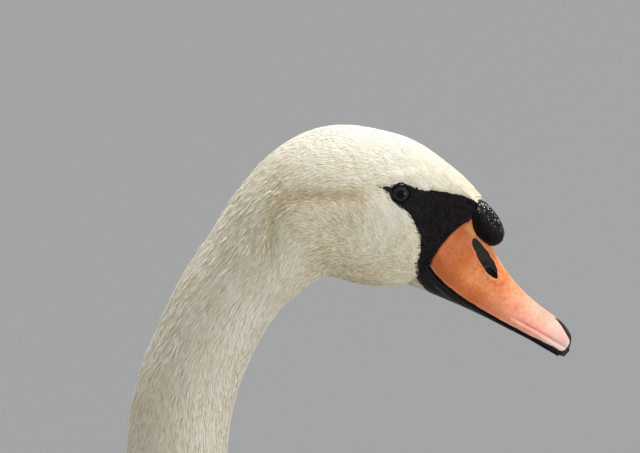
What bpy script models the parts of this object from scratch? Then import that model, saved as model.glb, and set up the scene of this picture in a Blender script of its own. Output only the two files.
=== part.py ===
"""An adult mute swan, life size, sitting on its belly as it floats, with its neck in a relaxed S.

The bird looks along +X, its left side is +Y and it rests on the plane Z = 0. The solids reach out to the
tips of the plumage. Each part that a person would name is one closed object, and neighbours stand
CLEARANCE apart. Sizes are in metres.
"""

import math

import bmesh
import bpy
import numpy as np
from mathutils import Matrix, Vector

# ---------------------------------------------------------------- driving sizes
CLEARANCE = 0.0004  # gap between neighbouring solids
BODY_POINTS = 24  # points round a body section

EYE_CENTRE = Vector((0.0005, 0.0168, 0.6994))  # the left eyeball, from the bill-side origin of the sections
EYE_RADIUS = 0.0074

BILL_ROOT = Vector((0.0173, 0.0, 0.6535))  # the corner of the gape, seen from the side
BILL_SLOPE = math.radians(41.9)  # how far the bill points below the horizontal
BILL_LENGTH = 0.0965
NAIL_START = 0.0830  # where the horny nail starts, along the bill
BILL_POINTS = 20
RIDGE_SLIMMING = 0.42  # share of its width that the upper bill loses at the root of the ridge
RIDGE_SLIM_LENGTH = 0.055
PALATE = 0.0004  # how far the middle of the upper bill's underside hangs below its edges
JAW_INSET = 0.0012  # how much narrower the lower bill is on each side
JAW_SHORTER = 0.0015

KNOB_TOP = Vector((0.0440, 0.0, 0.6824))
KNOB_FOOT = Vector((0.0526, 0.0, 0.6702))
KNOB_RADII = (0.0078, 0.0094)
KNOB_WIDTH = 1.12  # how much wider than deep the knob is
KNOB_RINGS = 10
KNOB_POINTS = 16

TUBE_POINTS = 12
FOOT_JOINT = Vector((-0.318, 0.100, 0.0))
ANKLE = Vector((-0.447, 0.096, 0.0300))
SHANK_GAP = 0.0020  # from the end of the shank to the foot's joint
SHANK_END_HEIGHT = 0.0115
SHANK_SAG = 0.0040
SHANK = (  # share of the way from the ankle to the foot, radius
    (-0.085, 0.0045),
    (-0.065, 0.0088),
    (-0.020, 0.0116),
    (0.050, 0.0118),
    (0.140, 0.0094),
    (0.300, 0.0078),
    (0.500, 0.0072),
    (0.720, 0.0076),
    (0.900, 0.0088),
    (1.000, 0.0086),
)
HIND_TOE = ((0.0, 0.0018), (0.12, 0.0031), (0.45, 0.0030), (0.70, 0.0024), (0.90, 0.0015), (1.0, 0.0007))
THIGH = (  # distance ahead of the ankle, height over it, radius
    (0.026, 0.078, 0.0260),
    (0.023, 0.060, 0.0300),
    (0.017, 0.042, 0.0310),
    (0.010, 0.025, 0.0275),
    (0.004, 0.010, 0.0190),
    (0.000, 0.000, 0.0110),
)
THIGH_DEPTH = 2.1  # how much deeper the thigh is, from front to rear, than it is wide
TOE_TURN = math.radians(2)  # the middle toe points this far outwards
TOES = {  # name: (angle from the middle toe, length from the joint)
    "inner": (math.radians(-20), 0.108),
    "middle": (0.0, 0.138),
    "outer": (math.radians(21), 0.128),
}
TOE_FRONT = (  # place across a toe, from -1 to 1, and how far its front edge reaches past the toe's length
    (-1.0, -0.012),
    (-0.6, -0.004),
    (0.0, 0.009),  # the claw
    (0.6, -0.004),
    (1.0, -0.012),
)
TOE_SPREAD = math.radians(6)  # the most that half a toe takes up near the heel
TOE_TAPER = 0.40  # share of its height and width that a toe loses towards its front
WEB_DIP = 0.024  # how far the web's front edge lies behind the toes
WEB_THICKNESS = 0.0022
FRONT_THICKNESS = 0.0012
FOOT_RINGS = 10
HEEL = 0.0155  # the toes fan out from a point this far behind the joint
HEEL_HEIGHT = 0.0110  # rise of the foot at the joint, over its webs, and how far forward it runs
HEEL_LENGTH = 0.030
TOE_HEIGHT = 0.0080
TOE_HALF_WIDTH = 0.0048

# Sections of the body from the bill to the root of the tail. Each is an oval on a line from the back or crown
# (x, z) to the belly or throat (x, z), with a half width and the share of the line, from the back, at which
# it is widest. Above the breast the lines fan out round the corner between the neck and the back.
SECTIONS = (
    (0.04936, 0.68923, 0.00414, 0.63884, 0.0178, 0.58),  # root of the bill
    (0.0398, 0.7006, -0.0010, 0.6378, 0.0205, 0.57),
    (0.0286, 0.7104, -0.0080, 0.6378, 0.0228, 0.55),  # lores
    (0.0089, 0.7241, -0.0180, 0.6386, 0.0253, 0.53),  # eyes
    (-0.0100, 0.7303, -0.0265, 0.6402, 0.0280, 0.53),  # cheeks
    (-0.0380, 0.7330, -0.0355, 0.6432, 0.0304, 0.50),  # top of the crown
    (-0.0646, 0.7232, -0.0420, 0.6438, 0.0308, 0.48),
    (-0.0865, 0.7024, -0.0475, 0.6415, 0.0299, 0.48),  # nape
    (-0.0995, 0.6835, -0.0540, 0.6372, 0.0290, 0.50),
    (-0.1106, 0.6658, -0.0618, 0.6305, 0.0282, 0.50),
    (-0.1225, 0.6475, -0.0710, 0.6200, 0.0277, 0.50),
    (-0.1403, 0.6104, -0.0880, 0.5880, 0.0275, 0.50),
    (-0.1512, 0.5830, -0.0946, 0.5680, 0.0277, 0.50),
    (-0.1587, 0.5390, -0.0993, 0.5360, 0.0283, 0.50),  # middle of the neck
    (-0.1597, 0.4900, -0.0980, 0.4960, 0.0295, 0.50),
    (-0.1550, 0.4400, -0.0890, 0.4540, 0.0318, 0.50),
    (-0.1440, 0.3930, -0.0710, 0.4140, 0.0356, 0.50),
    (-0.1330, 0.3510, -0.0460, 0.3700, 0.0425, 0.50),
    (-0.1260, 0.3190, -0.0150, 0.3200, 0.0540, 0.50),  # foot of the neck
    (-0.1270, 0.2920, 0.0150, 0.2620, 0.0700, 0.50),
    (-0.1400, 0.2740, 0.0300, 0.1980, 0.0870, 0.50),  # breast
    (-0.1640, 0.2650, 0.0200, 0.1330, 0.1020, 0.50),
    (-0.1960, 0.2620, -0.0150, 0.0760, 0.1140, 0.50),
    (-0.2360, 0.2630, -0.0750, 0.0240, 0.1230, 0.50),
    (-0.2860, 0.2660, -0.1550, -0.0060, 0.1290, 0.50),  # belly
    (-0.3460, 0.2660, -0.2500, -0.0140, 0.1310, 0.50),
    (-0.4050, 0.2600, -0.3450, -0.0100, 0.1270, 0.50),
    (-0.4600, 0.2470, -0.4300, 0.0150, 0.1150, 0.50),
    (-0.5090, 0.2280, -0.4980, 0.0500, 0.0960, 0.48),  # vent
    (-0.5500, 0.2090, -0.5480, 0.0900, 0.0760, 0.46),
    (-0.5860, 0.1950, -0.5860, 0.1270, 0.0600, 0.44),  # root of the tail
)
# The named lengths of the body: the indices in SECTIONS between which each one lies.
LENGTHS = {
    "head": (0, 8),
    "neck_upper": (8, 13),
    "neck_middle": (13, 16),
    "neck_lower": (16, 19),
    "trunk": (19, 30),
}

RING_STEPS = {"head": 0.014, "neck_upper": 0.022, "neck_middle": 0.024, "neck_lower": 0.022, "trunk": 0.029}

# Folded wing: x, half width of the roof, its top, its widest level, then where the wing starts and ends round
# the roof, in degrees from the top, and its thickness.
WING = (
    (-0.060, 0.108, 0.262, 0.185, 74.0, 84.0, 0.010),  # bend of the wing
    (-0.072, 0.116, 0.270, 0.178, 56.0, 93.0, 0.020),
    (-0.098, 0.126, 0.279, 0.168, 33.0, 99.0, 0.030),
    (-0.135, 0.136, 0.288, 0.158, 12.0, 104.0, 0.038),
    (-0.185, 0.145, 0.295, 0.150, 0.8, 107.0, 0.045),
    (-0.250, 0.152, 0.301, 0.145, 0.4, 108.0, 0.045),
    (-0.320, 0.154, 0.305, 0.143, 0.4, 108.0, 0.045),
    (-0.390, 0.148, 0.301, 0.145, 0.4, 105.0, 0.045),
    (-0.450, 0.134, 0.290, 0.150, 0.5, 100.0, 0.040),
    (-0.505, 0.112, 0.273, 0.158, 0.6, 94.0, 0.028),
    (-0.550, 0.086, 0.254, 0.168, 0.8, 88.0, 0.016),
    (-0.590, 0.056, 0.237, 0.178, 1.4, 80.0, 0.010),
    (-0.612, 0.030, 0.226, 0.190, 4.0, 66.0, 0.006),
)
WING_TUCK = 1.05  # how fast the wing's lower edge turns in to the flank
WING_EDGE = 0.12  # share of its thickness that the wing keeps at its lower edge
WING_THINS = 0.75  # share of the way round the wing at which it starts to thin
WING_POINTS = 11  # points across the wing's outer face
WING_RINGS = 18

# Folded flight feathers: x, distance of the blade's middle from the bird's middle, half width, height of the
# middle, thickness.
FLIGHT = (
    (-0.470, 0.052, 0.028, 0.2440, 0.0100),
    (-0.540, 0.044, 0.030, 0.2280, 0.0100),
    (-0.600, 0.035, 0.027, 0.2140, 0.0080),
    (-0.645, 0.024, 0.018, 0.2060, 0.0055),
    (-0.672, 0.014, 0.009, 0.2020, 0.0030),
    (-0.684, 0.008, 0.002, 0.2005, 0.0016),
)

FLIGHT_SLOPE = 0.35  # how steeply the blade falls to the outside, and how fast that grows
FLIGHT_BEND = 2.2
FLIGHT_RINGS = 10
BLADE_POINTS = 12

# Tail: x, half width, height of the middle, thickness at the middle, droop of the edges.
TAIL = (
    (-0.5865, 0.0590, 0.1620, 0.0640, 0.000),
    (-0.6150, 0.0640, 0.1640, 0.0440, 0.006),
    (-0.6500, 0.0670, 0.1690, 0.0250, 0.011),
    (-0.6850, 0.0600, 0.1750, 0.0130, 0.012),
    (-0.7180, 0.0450, 0.1810, 0.0070, 0.009),
    (-0.7450, 0.0250, 0.1850, 0.0040, 0.005),
    (-0.7600, 0.0060, 0.1870, 0.0020, 0.001),
)

TAIL_RINGS = 11

# Bill: distance along it, then the heights of the ridge, the cutting edge and the underside of the lower jaw,
# and the half width.
BILL = (
    (0.0000, 0.0362, 0.0002, -0.0193, 0.0176),
    (0.0100, 0.0346, -0.0014, -0.0146, 0.0175),
    (0.0220, 0.0302, -0.0012, -0.0101, 0.0171),
    (0.0340, 0.0258, 0.0000, -0.0059, 0.0165),
    (0.0480, 0.0228, 0.0026, -0.0020, 0.0160),
    (0.0620, 0.0218, 0.0056, 0.0018, 0.0160),
    (0.0740, 0.0224, 0.0082, 0.0050, 0.0162),
    (0.0830, 0.0226, 0.0096, 0.0066, 0.0156),
    (0.0900, 0.0210, 0.0100, 0.0076, 0.0126),
    (0.0945, 0.0176, 0.0098, 0.0082, 0.0080),
    (0.0965, 0.0134, 0.0096, 0.0088, 0.0030),
)

COLOURS = {  # name: (red, green, blue, roughness)
    "white_plumage": (0.84, 0.82, 0.75, 0.75),
    "orange_horn": (0.80, 0.27, 0.10, 0.42),
    "black_horn": (0.020, 0.019, 0.020, 0.35),
    "black_skin": (0.018, 0.017, 0.019, 0.50),
    "dark_eye": (0.012, 0.008, 0.006, 0.08),
    "grey_black_foot": (0.045, 0.045, 0.048, 0.45),
}


# ---------------------------------------------------------------- helpers
def clear_scene():
    """Empties the startup scene."""
    for old in list(bpy.data.objects):
        bpy.data.objects.remove(old, do_unlink=True)


def collection_named(name):
    """A new collection in the scene."""
    made = bpy.data.collections.new(name)
    bpy.context.scene.collection.children.link(made)
    return made


def material_named(name):
    """The plain finish of that name, made once."""
    found = bpy.data.materials.get(name)
    if found:
        return found
    red, green, blue, roughness = COLOURS[name]
    made = bpy.data.materials.new(name)
    made.use_nodes = True
    shader = made.node_tree.nodes["Principled BSDF"]
    shader.inputs["Base Color"].default_value = (red, green, blue, 1.0)
    shader.inputs["Roughness"].default_value = roughness
    made.diffuse_color = (red, green, blue, 1.0)
    return made


def spline(knots, rows, at):
    """Rows of values on a natural cubic spline through (knots, rows), at the given places."""
    knots = np.asarray(knots, float)
    rows = np.asarray(rows, float)
    at = np.asarray(at, float)
    step = np.diff(knots)
    count = len(knots)
    matrix = np.eye(count)
    bend = np.zeros_like(rows)
    inner = np.arange(1, count - 1)
    matrix[inner, inner - 1] = step[:-1]
    matrix[inner, inner] = 2 * (step[:-1] + step[1:])
    matrix[inner, inner + 1] = step[1:]
    slope = np.diff(rows, axis=0) / step[:, None]
    bend[1:-1] = 6 * np.diff(slope, axis=0)
    bend = np.linalg.solve(matrix, bend)
    low = np.clip(np.searchsorted(knots, at) - 1, 0, count - 2)
    gap = step[low][:, None]
    after = (at - knots[low])[:, None] / gap
    before = 1 - after
    straight = before * rows[low] + after * rows[low + 1]
    return straight + gap**2 / 6 * ((before**3 - before) * bend[low] + (after**3 - after) * bend[low + 1])


def loft(name, rings, finish, collection):
    """One closed object through rings of points: faces between neighbouring rings and a cap on each end."""
    mesh = bpy.data.meshes.new(name)
    bm = bmesh.new()
    rows = [[bm.verts.new(point) for point in ring] for ring in rings]
    for row, following in zip(rows, rows[1:]):
        for i in range(len(row)):
            bm.faces.new((row[i - 1], row[i], following[i], following[i - 1]))
    bm.faces.new(rows[0])
    bm.faces.new(rows[-1])
    bmesh.ops.recalc_face_normals(bm, faces=bm.faces)
    bmesh.ops.triangulate(bm, faces=bm.faces)  # so that a solid and its cutter fold along the same lines
    bm.to_mesh(mesh)
    bm.free()
    mesh.shade_smooth()
    mesh.set_sharp_from_angle(angle=math.radians(50))
    mesh.materials.append(material_named(finish))
    made = bpy.data.objects.new(name, mesh)
    collection.objects.link(made)
    return made


def hide_helper(helper):
    """Marks an object as a cutter, which isn't part of the bird."""
    helper.hide_render = True
    helper.display_type = "WIRE"


def clearance_cutter(source):
    """A copy of an object's own mesh, grown by the clearance."""
    cutter = bpy.data.objects.new(source.name + "_cutter", source.data.copy())
    cutters.objects.link(cutter)
    grow = cutter.modifiers.new("clearance", "DISPLACE")
    grow.strength = CLEARANCE
    grow.mid_level = 0.0
    hide_helper(cutter)
    return cutter


def cut(target, cutter):
    """Takes the cutter's space out of an object with a live Boolean."""
    step = target.modifiers.new("clear_of_" + cutter.name, "BOOLEAN")
    step.operation = "DIFFERENCE"
    step.object = cutter


def resampled(table, count):
    """A table of sections smoothed to count rows, evenly spread over its own rows."""
    return spline(range(len(table)), table, np.linspace(0, len(table) - 1, count))


# ---------------------------------------------------------------- head, neck and trunk
def section_knots():
    """The distance of each section from the first, along the middles of their lines."""
    table = np.array(SECTIONS)
    middles = (table[:, 0:2] + table[:, 2:4]) / 2
    return np.concatenate([[0.0], np.cumsum(np.linalg.norm(np.diff(middles, axis=0), axis=1))])


def body_ring(row):
    """The points of one body section: an oval round its line, flat where the belly meets the floor."""
    back_x, back_z, belly_x, belly_z, half_width, widest = row
    ring = []
    for i in range(BODY_POINTS):
        turn = 2 * math.pi * i / BODY_POINTS
        reach = widest if math.cos(turn) > 0 else 1 - widest
        down = widest - reach * math.cos(turn)
        x = back_x + (belly_x - back_x) * down
        z = back_z + (belly_z - back_z) * down
        ring.append((x, half_width * math.sin(turn), max(z, 0.0)))
    return ring


def body_length(name, first, last):
    """The stretch of the body between two sections. It starts one clearance after the stretch before it."""
    knots = section_knots()
    start = knots[first] + (CLEARANCE if first else 0.0)
    if name == "trunk":
        start += CLEARANCE  # the sections fan out here, so the gap narrows towards the back
    steps = max(2, round((knots[last] - start) / RING_STEPS[name]))
    places = np.linspace(start, knots[last], steps + 1)
    rings = [body_ring(row) for row in spline(knots, SECTIONS, places)]
    return loft(name, rings, "white_plumage", bird)


def make_body():
    """Head, three lengths of neck and the trunk."""
    return {name: body_length(name, first, last) for name, (first, last) in LENGTHS.items()}


def make_eyes(head):
    """Two eyeballs, each in a socket cut in the head."""
    for side, name in ((1, "eye_left"), (-1, "eye_right")):
        mesh = bpy.data.meshes.new(name)
        bm = bmesh.new()
        bmesh.ops.create_uvsphere(bm, u_segments=14, v_segments=8, radius=EYE_RADIUS)
        bm.to_mesh(mesh)
        bm.free()
        mesh.shade_smooth()
        mesh.materials.append(material_named("dark_eye"))
        eye = bpy.data.objects.new(name, mesh)
        eye.location = (EYE_CENTRE.x, side * EYE_CENTRE.y, EYE_CENTRE.z)
        eye.rotation_euler.x = math.radians(90)
        bird.objects.link(eye)
        socket = clearance_cutter(eye)
        socket.matrix_basis = eye.matrix_basis
        cut(head, socket)


# ---------------------------------------------------------------- bill
def bill_point(along, across, up):
    """A point from its place in the bill's own directions."""
    x = BILL_ROOT.x + along * math.cos(BILL_SLOPE) + up * math.sin(BILL_SLOPE)
    z = BILL_ROOT.z - along * math.sin(BILL_SLOPE) + up * math.cos(BILL_SLOPE)
    return (x, across, z)


def upper_ring(row):
    """A section of the upper bill: flat below, and a rounded ridge that spreads to the cutting edges."""
    along, ridge, edge, _, half_width = row
    ring = []
    for i in range(BILL_POINTS):
        turn = 2 * math.pi * i / BILL_POINTS
        across = half_width * math.copysign(abs(math.sin(turn)) ** 0.85, math.sin(turn))
        if math.cos(turn) > 0:
            slim = 1 - RIDGE_SLIMMING * math.cos(turn) * max(0.0, 1 - along / RIDGE_SLIM_LENGTH)
            ring.append(bill_point(along, across * slim, edge + (ridge - edge) * math.cos(turn) ** 1.15))
        else:
            ring.append(bill_point(along, across, edge + PALATE * math.cos(turn)))
    return ring


def lower_ring(row):
    """A section of the lower bill: a shallow tray under the upper one."""
    along, _, edge, underside, half_width = row
    top = edge - PALATE - CLEARANCE
    depth = max(top - underside, 2 * PALATE)
    ring = []
    for i in range(BILL_POINTS):
        turn = 2 * math.pi * i / BILL_POINTS
        across = (half_width - JAW_INSET) * math.sin(turn)
        drop = depth * (abs(math.cos(turn)) ** 0.7 if math.cos(turn) < 0 else 0.0)
        ring.append(bill_point(along, across, top - drop))
    return ring


def make_bill():
    """Upper bill, its horny nail, and lower bill. The root of each faces the flat front of the head."""
    knots = np.array(BILL)[:, 0]

    def stretch(name, first, last, steps, shape, finish):
        places = first + (last - first) * np.linspace(0, 1, steps + 1)
        loft(name, [shape(row) for row in spline(knots, BILL, places)], finish, bird)

    stretch("bill_upper", CLEARANCE, NAIL_START, 9, upper_ring, "orange_horn")
    stretch("bill_nail", NAIL_START + CLEARANCE, BILL_LENGTH, 5, upper_ring, "black_horn")
    stretch("bill_lower", CLEARANCE, BILL_LENGTH - JAW_SHORTER, 10, lower_ring, "black_horn")


def make_knob():
    """The fleshy knob over the root of the bill: an oval lobe that lies down the ridge from the forehead."""
    top_radius, foot_radius = KNOB_RADII
    way = KNOB_FOOT - KNOB_TOP
    along = way.normalized()
    outward = Vector((-along.z, 0, along.x))
    reach = (way.length + top_radius + foot_radius) / 2
    rings = []
    for turn in np.linspace(0.06, 0.94, KNOB_RINGS) * math.pi:
        place = -math.cos(turn)  # -1 at the top end, 1 at the foot
        widest = top_radius + (foot_radius - top_radius) * (place + 1) / 2
        radius = widest * math.sin(turn) ** 0.8
        centre = (KNOB_TOP + KNOB_FOOT) / 2 + along * place * reach
        ring = []
        for angle in np.linspace(0, 2 * math.pi, KNOB_POINTS, endpoint=False):
            sideways = Vector((0, KNOB_WIDTH * radius * math.sin(angle), 0))
            ring.append(centre + outward * radius * math.cos(angle) + sideways)
        rings.append(ring)
    return loft("knob", rings, "black_skin", bird)


# ---------------------------------------------------------------- wings and tail
def wing_ring(row, side):
    """A section of the folded wing: an arc of the roof outside, and the same arc further in."""
    x, half_width, top, level, first, last, thickness = row
    outer = []
    inner = []
    for i in range(WING_POINTS):
        share = i / (WING_POINTS - 1)
        turn = math.radians(first + (last - first) * share)
        rise = (top - level) * math.cos(turn)
        tuck = 1 - WING_TUCK * min(0.0, math.cos(turn)) ** 2
        across = max(half_width * tuck * math.sin(turn), CLEARANCE)
        to_edge = min(1.0, (1 - share) / (1 - WING_THINS))
        depth = thickness * (WING_EDGE + (1 - WING_EDGE) * math.sin(math.pi * to_edge / 2))
        outer.append((x, side * across, level + rise))
        if i % 2:
            continue
        shrink = 1 - depth / half_width
        inner.append((x, side * max(across * shrink, CLEARANCE), level + rise - depth * math.cos(turn)))
    return outer + inner[::-1]


def make_wing(side, name, cutters_here):
    """A folded wing: everything that covers the flank and the back, up to the tips of the tertials."""
    rings = [wing_ring(row, side) for row in resampled(WING, WING_RINGS)]
    wing = loft(name, rings, "white_plumage", bird)
    for cutter in cutters_here:
        cut(wing, cutter)


def flight_ring(row, side):
    """A section of the folded flight feathers: a flat oval that droops to the outside."""
    x, middle, half_width, height, thickness = row
    ring = []
    for i in range(BLADE_POINTS):
        turn = 2 * math.pi * i / BLADE_POINTS
        across = half_width * math.sin(turn)
        droop = FLIGHT_SLOPE * across + FLIGHT_BEND * across**2
        ring.append((x, side * (middle + across), height - droop + thickness / 2 * math.cos(turn)))
    return ring


def make_flight(side, name):
    """The folded flight feathers, whose tips lie over the root of the tail."""
    rings = [flight_ring(row, side) for row in resampled(FLIGHT, FLIGHT_RINGS)]
    return loft(name, rings, "white_plumage", bird)


def tail_ring(row):
    """A section of the tail: a flat oval whose edges droop."""
    x, half_width, height, thickness, droop = row
    ring = []
    for i in range(2 * BLADE_POINTS):
        turn = math.pi * i / BLADE_POINTS
        sideways = math.sin(turn)
        ring.append((x, half_width * sideways, height - droop * sideways**2 + thickness / 2 * math.cos(turn)))
    return ring


def make_tail():
    """The wedge of tail feathers with their coverts."""
    loft("tail", [tail_ring(row) for row in resampled(TAIL, TAIL_RINGS)], "white_plumage", bird)


# ---------------------------------------------------------------- legs
def tube(name, path, radii, tall, finish):
    """A rounded limb: ovals square to a path of points, each radius for its own point."""
    rings = []
    for i, (point, radius) in enumerate(zip(path, radii)):
        ahead = (path[min(i + 1, len(path) - 1)] - path[max(i - 1, 0)]).normalized()
        across = Vector((0, 1, 0))
        up = ahead.cross(across).normalized()
        ring = []
        for j in range(TUBE_POINTS):
            angle = 2 * math.pi * j / TUBE_POINTS
            ring.append(point + across * radius * math.cos(angle) + up * radius * tall * math.sin(angle))
        rings.append(ring)
    return loft(name, rings, finish, bird)


def limb_path(start, end, shares):
    """Points on the straight line from start to end, at the given shares of its length."""
    return [start + (end - start) * share for share in shares]


def make_shank(side, name):
    """The bare shank, which lies along the floor from the ankle forward to the foot."""
    ankle = Vector((ANKLE.x, side * ANKLE.y, ANKLE.z))
    foot = Vector((FOOT_JOINT.x - SHANK_GAP, side * FOOT_JOINT.y, SHANK_END_HEIGHT))
    shares, radii = zip(*SHANK)
    path = limb_path(ankle, foot, shares)
    for point, share in zip(path, shares):
        point.z -= SHANK_SAG * math.sin(math.pi * min(max(share, 0.0), 1.0))
    return tube(name, path, radii, 1.12, "grey_black_foot")


def make_hind_toe(side, name):
    """The small toe behind and inside the foot's joint, which points back and down to the floor."""
    joint = Vector((FOOT_JOINT.x, side * FOOT_JOINT.y, 0.0))
    root = joint + Vector((-0.012, -side * 0.0125, 0.0110))
    tip = joint + Vector((-0.034, -side * 0.0195, 0.0018))
    shares, radii = zip(*HIND_TOE)
    return tube(name, limb_path(root, tip, shares), radii, 1.0, "grey_black_foot")


def make_thigh(side, name, cutters_here):
    """The feathered end of the leg, from the flank down to the ankle."""
    ankle = Vector((ANKLE.x, side * ANKLE.y, ANKLE.z))
    path = [ankle + Vector((ahead, 0, up)) for ahead, up, _ in THIGH]
    thigh = tube(name, path, [radius for _, _, radius in THIGH], THIGH_DEPTH, "white_plumage")
    for cutter in cutters_here:
        cut(thigh, cutter)


def foot_columns():
    """Lines from the heel to the front edge of the foot: (angle, place across its toe or None, length)."""
    columns = []
    names = list(TOES)
    for name, following in zip(names, names[1:] + [None]):
        angle, length = TOES[name]
        for across, reach in TOE_FRONT:
            columns.append((angle, across, length + reach))
        if following is None:
            continue
        next_angle, next_length = TOES[following]
        for share in (0.35, 0.65):
            web_length = length + (next_length - length) * share - WEB_DIP
            columns.append((angle + (next_angle - angle) * share, None, web_length))
    return columns


def foot_point(column, share):
    """Distance from the heel, direction and height of a place on the upper side of the foot."""
    angle, across, length = column
    rear = HEEL / math.cos(angle)
    distance = rear + (length + HEEL - rear) * share
    turn = angle + TOE_TURN * share
    height = WEB_THICKNESS
    if across is not None:
        turn += across * min(TOE_HALF_WIDTH / distance, TOE_SPREAD) * (1 - TOE_TAPER * share)
        bulge = math.sqrt(1 - across**2) * (1 - share**6)
        height += (TOE_HEIGHT * (1 - TOE_TAPER * share) - WEB_THICKNESS) * bulge
    height += HEEL_HEIGHT * max(0.0, 1 - (distance - HEEL) / HEEL_LENGTH) ** 1.5
    return distance, turn, min(height, FRONT_THICKNESS) if share == 1.0 else height


def make_foot(side, name):
    """A webbed foot: a thin web with three toes raised in it, on a flat sole, and claws at the front."""
    bm = bmesh.new()
    tops, soles = [], []
    columns = foot_columns()
    for share in np.linspace(0, 1, FOOT_RINGS):
        top_row, sole_row = [], []
        for column in columns:
            distance, turn, height = foot_point(column, share)
            x = FOOT_JOINT.x - HEEL + distance * math.cos(turn)
            y = side * (FOOT_JOINT.y + distance * math.sin(turn))
            top_row.append(bm.verts.new((x, y, height)))
            sole_row.append(bm.verts.new((x, y, 0.0)))
        tops.append(top_row)
        soles.append(sole_row)
    last = len(columns) - 1
    for r in range(FOOT_RINGS - 1):
        for c in range(last):
            bm.faces.new((tops[r][c], tops[r + 1][c], tops[r + 1][c + 1], tops[r][c + 1]))
            bm.faces.new((soles[r][c], soles[r][c + 1], soles[r + 1][c + 1], soles[r + 1][c]))
        for c in (0, last):
            bm.faces.new((tops[r][c], soles[r][c], soles[r + 1][c], tops[r + 1][c]))
    for top_row, sole_row in ((tops[0], soles[0]), (tops[-1], soles[-1])):
        for c in range(last):
            bm.faces.new((top_row[c], top_row[c + 1], sole_row[c + 1], sole_row[c]))
    bmesh.ops.recalc_face_normals(bm, faces=bm.faces)
    mesh = bpy.data.meshes.new(name)
    bm.to_mesh(mesh)
    bm.free()
    mesh.materials.append(material_named("grey_black_foot"))
    bird.objects.link(bpy.data.objects.new(name, mesh))


# ---------------------------------------------------------------- the bird
def stand_over_origin():
    """Parents everything to one empty, placed so that the middle of the bird's base is the origin."""
    bpy.context.view_layer.update()
    corners = [part.matrix_world @ Vector(corner) for part in bird.objects for corner in part.bound_box]
    middle = (min(c.x for c in corners) + max(c.x for c in corners)) / 2
    holder = bpy.data.objects.new("swan", None)
    bird.objects.link(holder)
    holder.location.x = -middle
    for part in list(bird.objects) + list(cutters.objects):
        if part is not holder:
            part.parent = holder
            part.matrix_parent_inverse = Matrix.Identity(4)


clear_scene()
bird = collection_named("mute_swan")
cutters = collection_named("cutters")
cutters.hide_render = True

body = make_body()
make_eyes(body["head"])
make_bill()
knob = make_knob()
for neighbour in (body["head"], bpy.data.objects["bill_upper"]):
    cut(neighbour, clearance_cutter(knob))
make_tail()
trunk_shape = clearance_cutter(body["trunk"])
neck_shape = clearance_cutter(body["neck_lower"])
for side, suffix in ((1, "_left"), (-1, "_right")):
    flight = make_flight(side, "flight" + suffix)
    make_wing(side, "wing" + suffix, (trunk_shape, neck_shape, clearance_cutter(flight)))
    shank = make_shank(side, "shank" + suffix)
    make_thigh(side, "thigh" + suffix, (trunk_shape, clearance_cutter(shank)))
    make_foot(side, "foot" + suffix)
    make_hind_toe(side, "hind_toe" + suffix)
stand_over_origin()
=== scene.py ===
# %% [markdown]
# # A mute swan in its feathers
# A museum model of a swan starts with a body of the right size and ends with thousands of feathers. This
# lesson does the same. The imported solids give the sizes, one skin is laid inside them, and the plumage is
# grown from the skin out to the surface of the solids. Everything is in metres: the bird looks along +X,
# its left side is +Y and it rests on Z = 0.

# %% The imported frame
import math

import bpy
import numpy as np
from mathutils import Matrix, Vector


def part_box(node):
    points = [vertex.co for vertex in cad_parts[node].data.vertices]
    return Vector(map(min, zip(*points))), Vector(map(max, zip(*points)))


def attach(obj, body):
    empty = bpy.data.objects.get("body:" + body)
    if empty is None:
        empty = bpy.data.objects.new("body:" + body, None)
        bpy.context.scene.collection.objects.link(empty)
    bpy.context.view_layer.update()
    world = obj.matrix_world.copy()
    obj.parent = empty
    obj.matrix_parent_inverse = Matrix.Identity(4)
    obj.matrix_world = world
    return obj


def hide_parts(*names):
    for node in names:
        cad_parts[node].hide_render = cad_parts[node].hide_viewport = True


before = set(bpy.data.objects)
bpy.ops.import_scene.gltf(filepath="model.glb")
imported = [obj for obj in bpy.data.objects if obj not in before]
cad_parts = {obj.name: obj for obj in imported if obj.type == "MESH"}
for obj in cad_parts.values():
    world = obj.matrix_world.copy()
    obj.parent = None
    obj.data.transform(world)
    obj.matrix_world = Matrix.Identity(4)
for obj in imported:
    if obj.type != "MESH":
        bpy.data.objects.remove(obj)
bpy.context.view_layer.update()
eye_low, eye_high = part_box("eye_left")
# The sizes used below start near the eye. The frame's origin is at mid-length, so they are shifted along X.
EYE_SOCKET_X = 0.0005  # middle of the solid eye, in the sizes used below
SHIFT = (eye_low.x + eye_high.x) / 2 - EYE_SOCKET_X
EYE = np.array((0.0001, 0.0168, 0.6986))  # middle of the left eyeball
print("frame holds", len(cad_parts), "solids; shift along X", round(SHIFT, 4))

# %% [markdown]
# ## Small tools for shapes
# Every surface below is a formula of two parameters worked out on a whole grid at once. A natural cubic
# spline turns a short table of sections into a smooth body. Smooth noise comes from a few plane waves,
# which is enough to keep rows of feathers from looking combed by a machine.

# %% Ease, splines and drift
TAU = 2 * math.pi
SIDES = ((1, "_left"), (-1, "_right"))
WAVES = 7  # sine waves in a sum of smooth noise


def full_turn(count):
    """Evenly spread angles that go once round, without the last one, which would be the first again."""
    return np.linspace(0, TAU, count, endpoint=False)


def xyz(x, y, z):
    """Points from their three coordinates, each spread over the whole grid."""
    return np.stack(np.broadcast_arrays(x, y, z), axis=-1)


def ease(low, high, x):
    """0 below low and 1 above high. Between them it is t * t * (3 - 2 * t), with t the share of the way."""
    t = np.clip((x - low) / (high - low), 0.0, 1.0)
    return t * t * (3 - 2 * t)


def bump(x, middle, width):
    """A round bump of height 1: e to the power of minus the squared distance, measured in widths."""
    return np.exp(-(((x - middle) / width) ** 2))


def hill(x, z, middle, radii):
    """The same over two directions, with a radius for each."""
    return np.exp(-(((x - middle[0]) / radii[0]) ** 2) - ((z - middle[1]) / radii[1]) ** 2)


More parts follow.
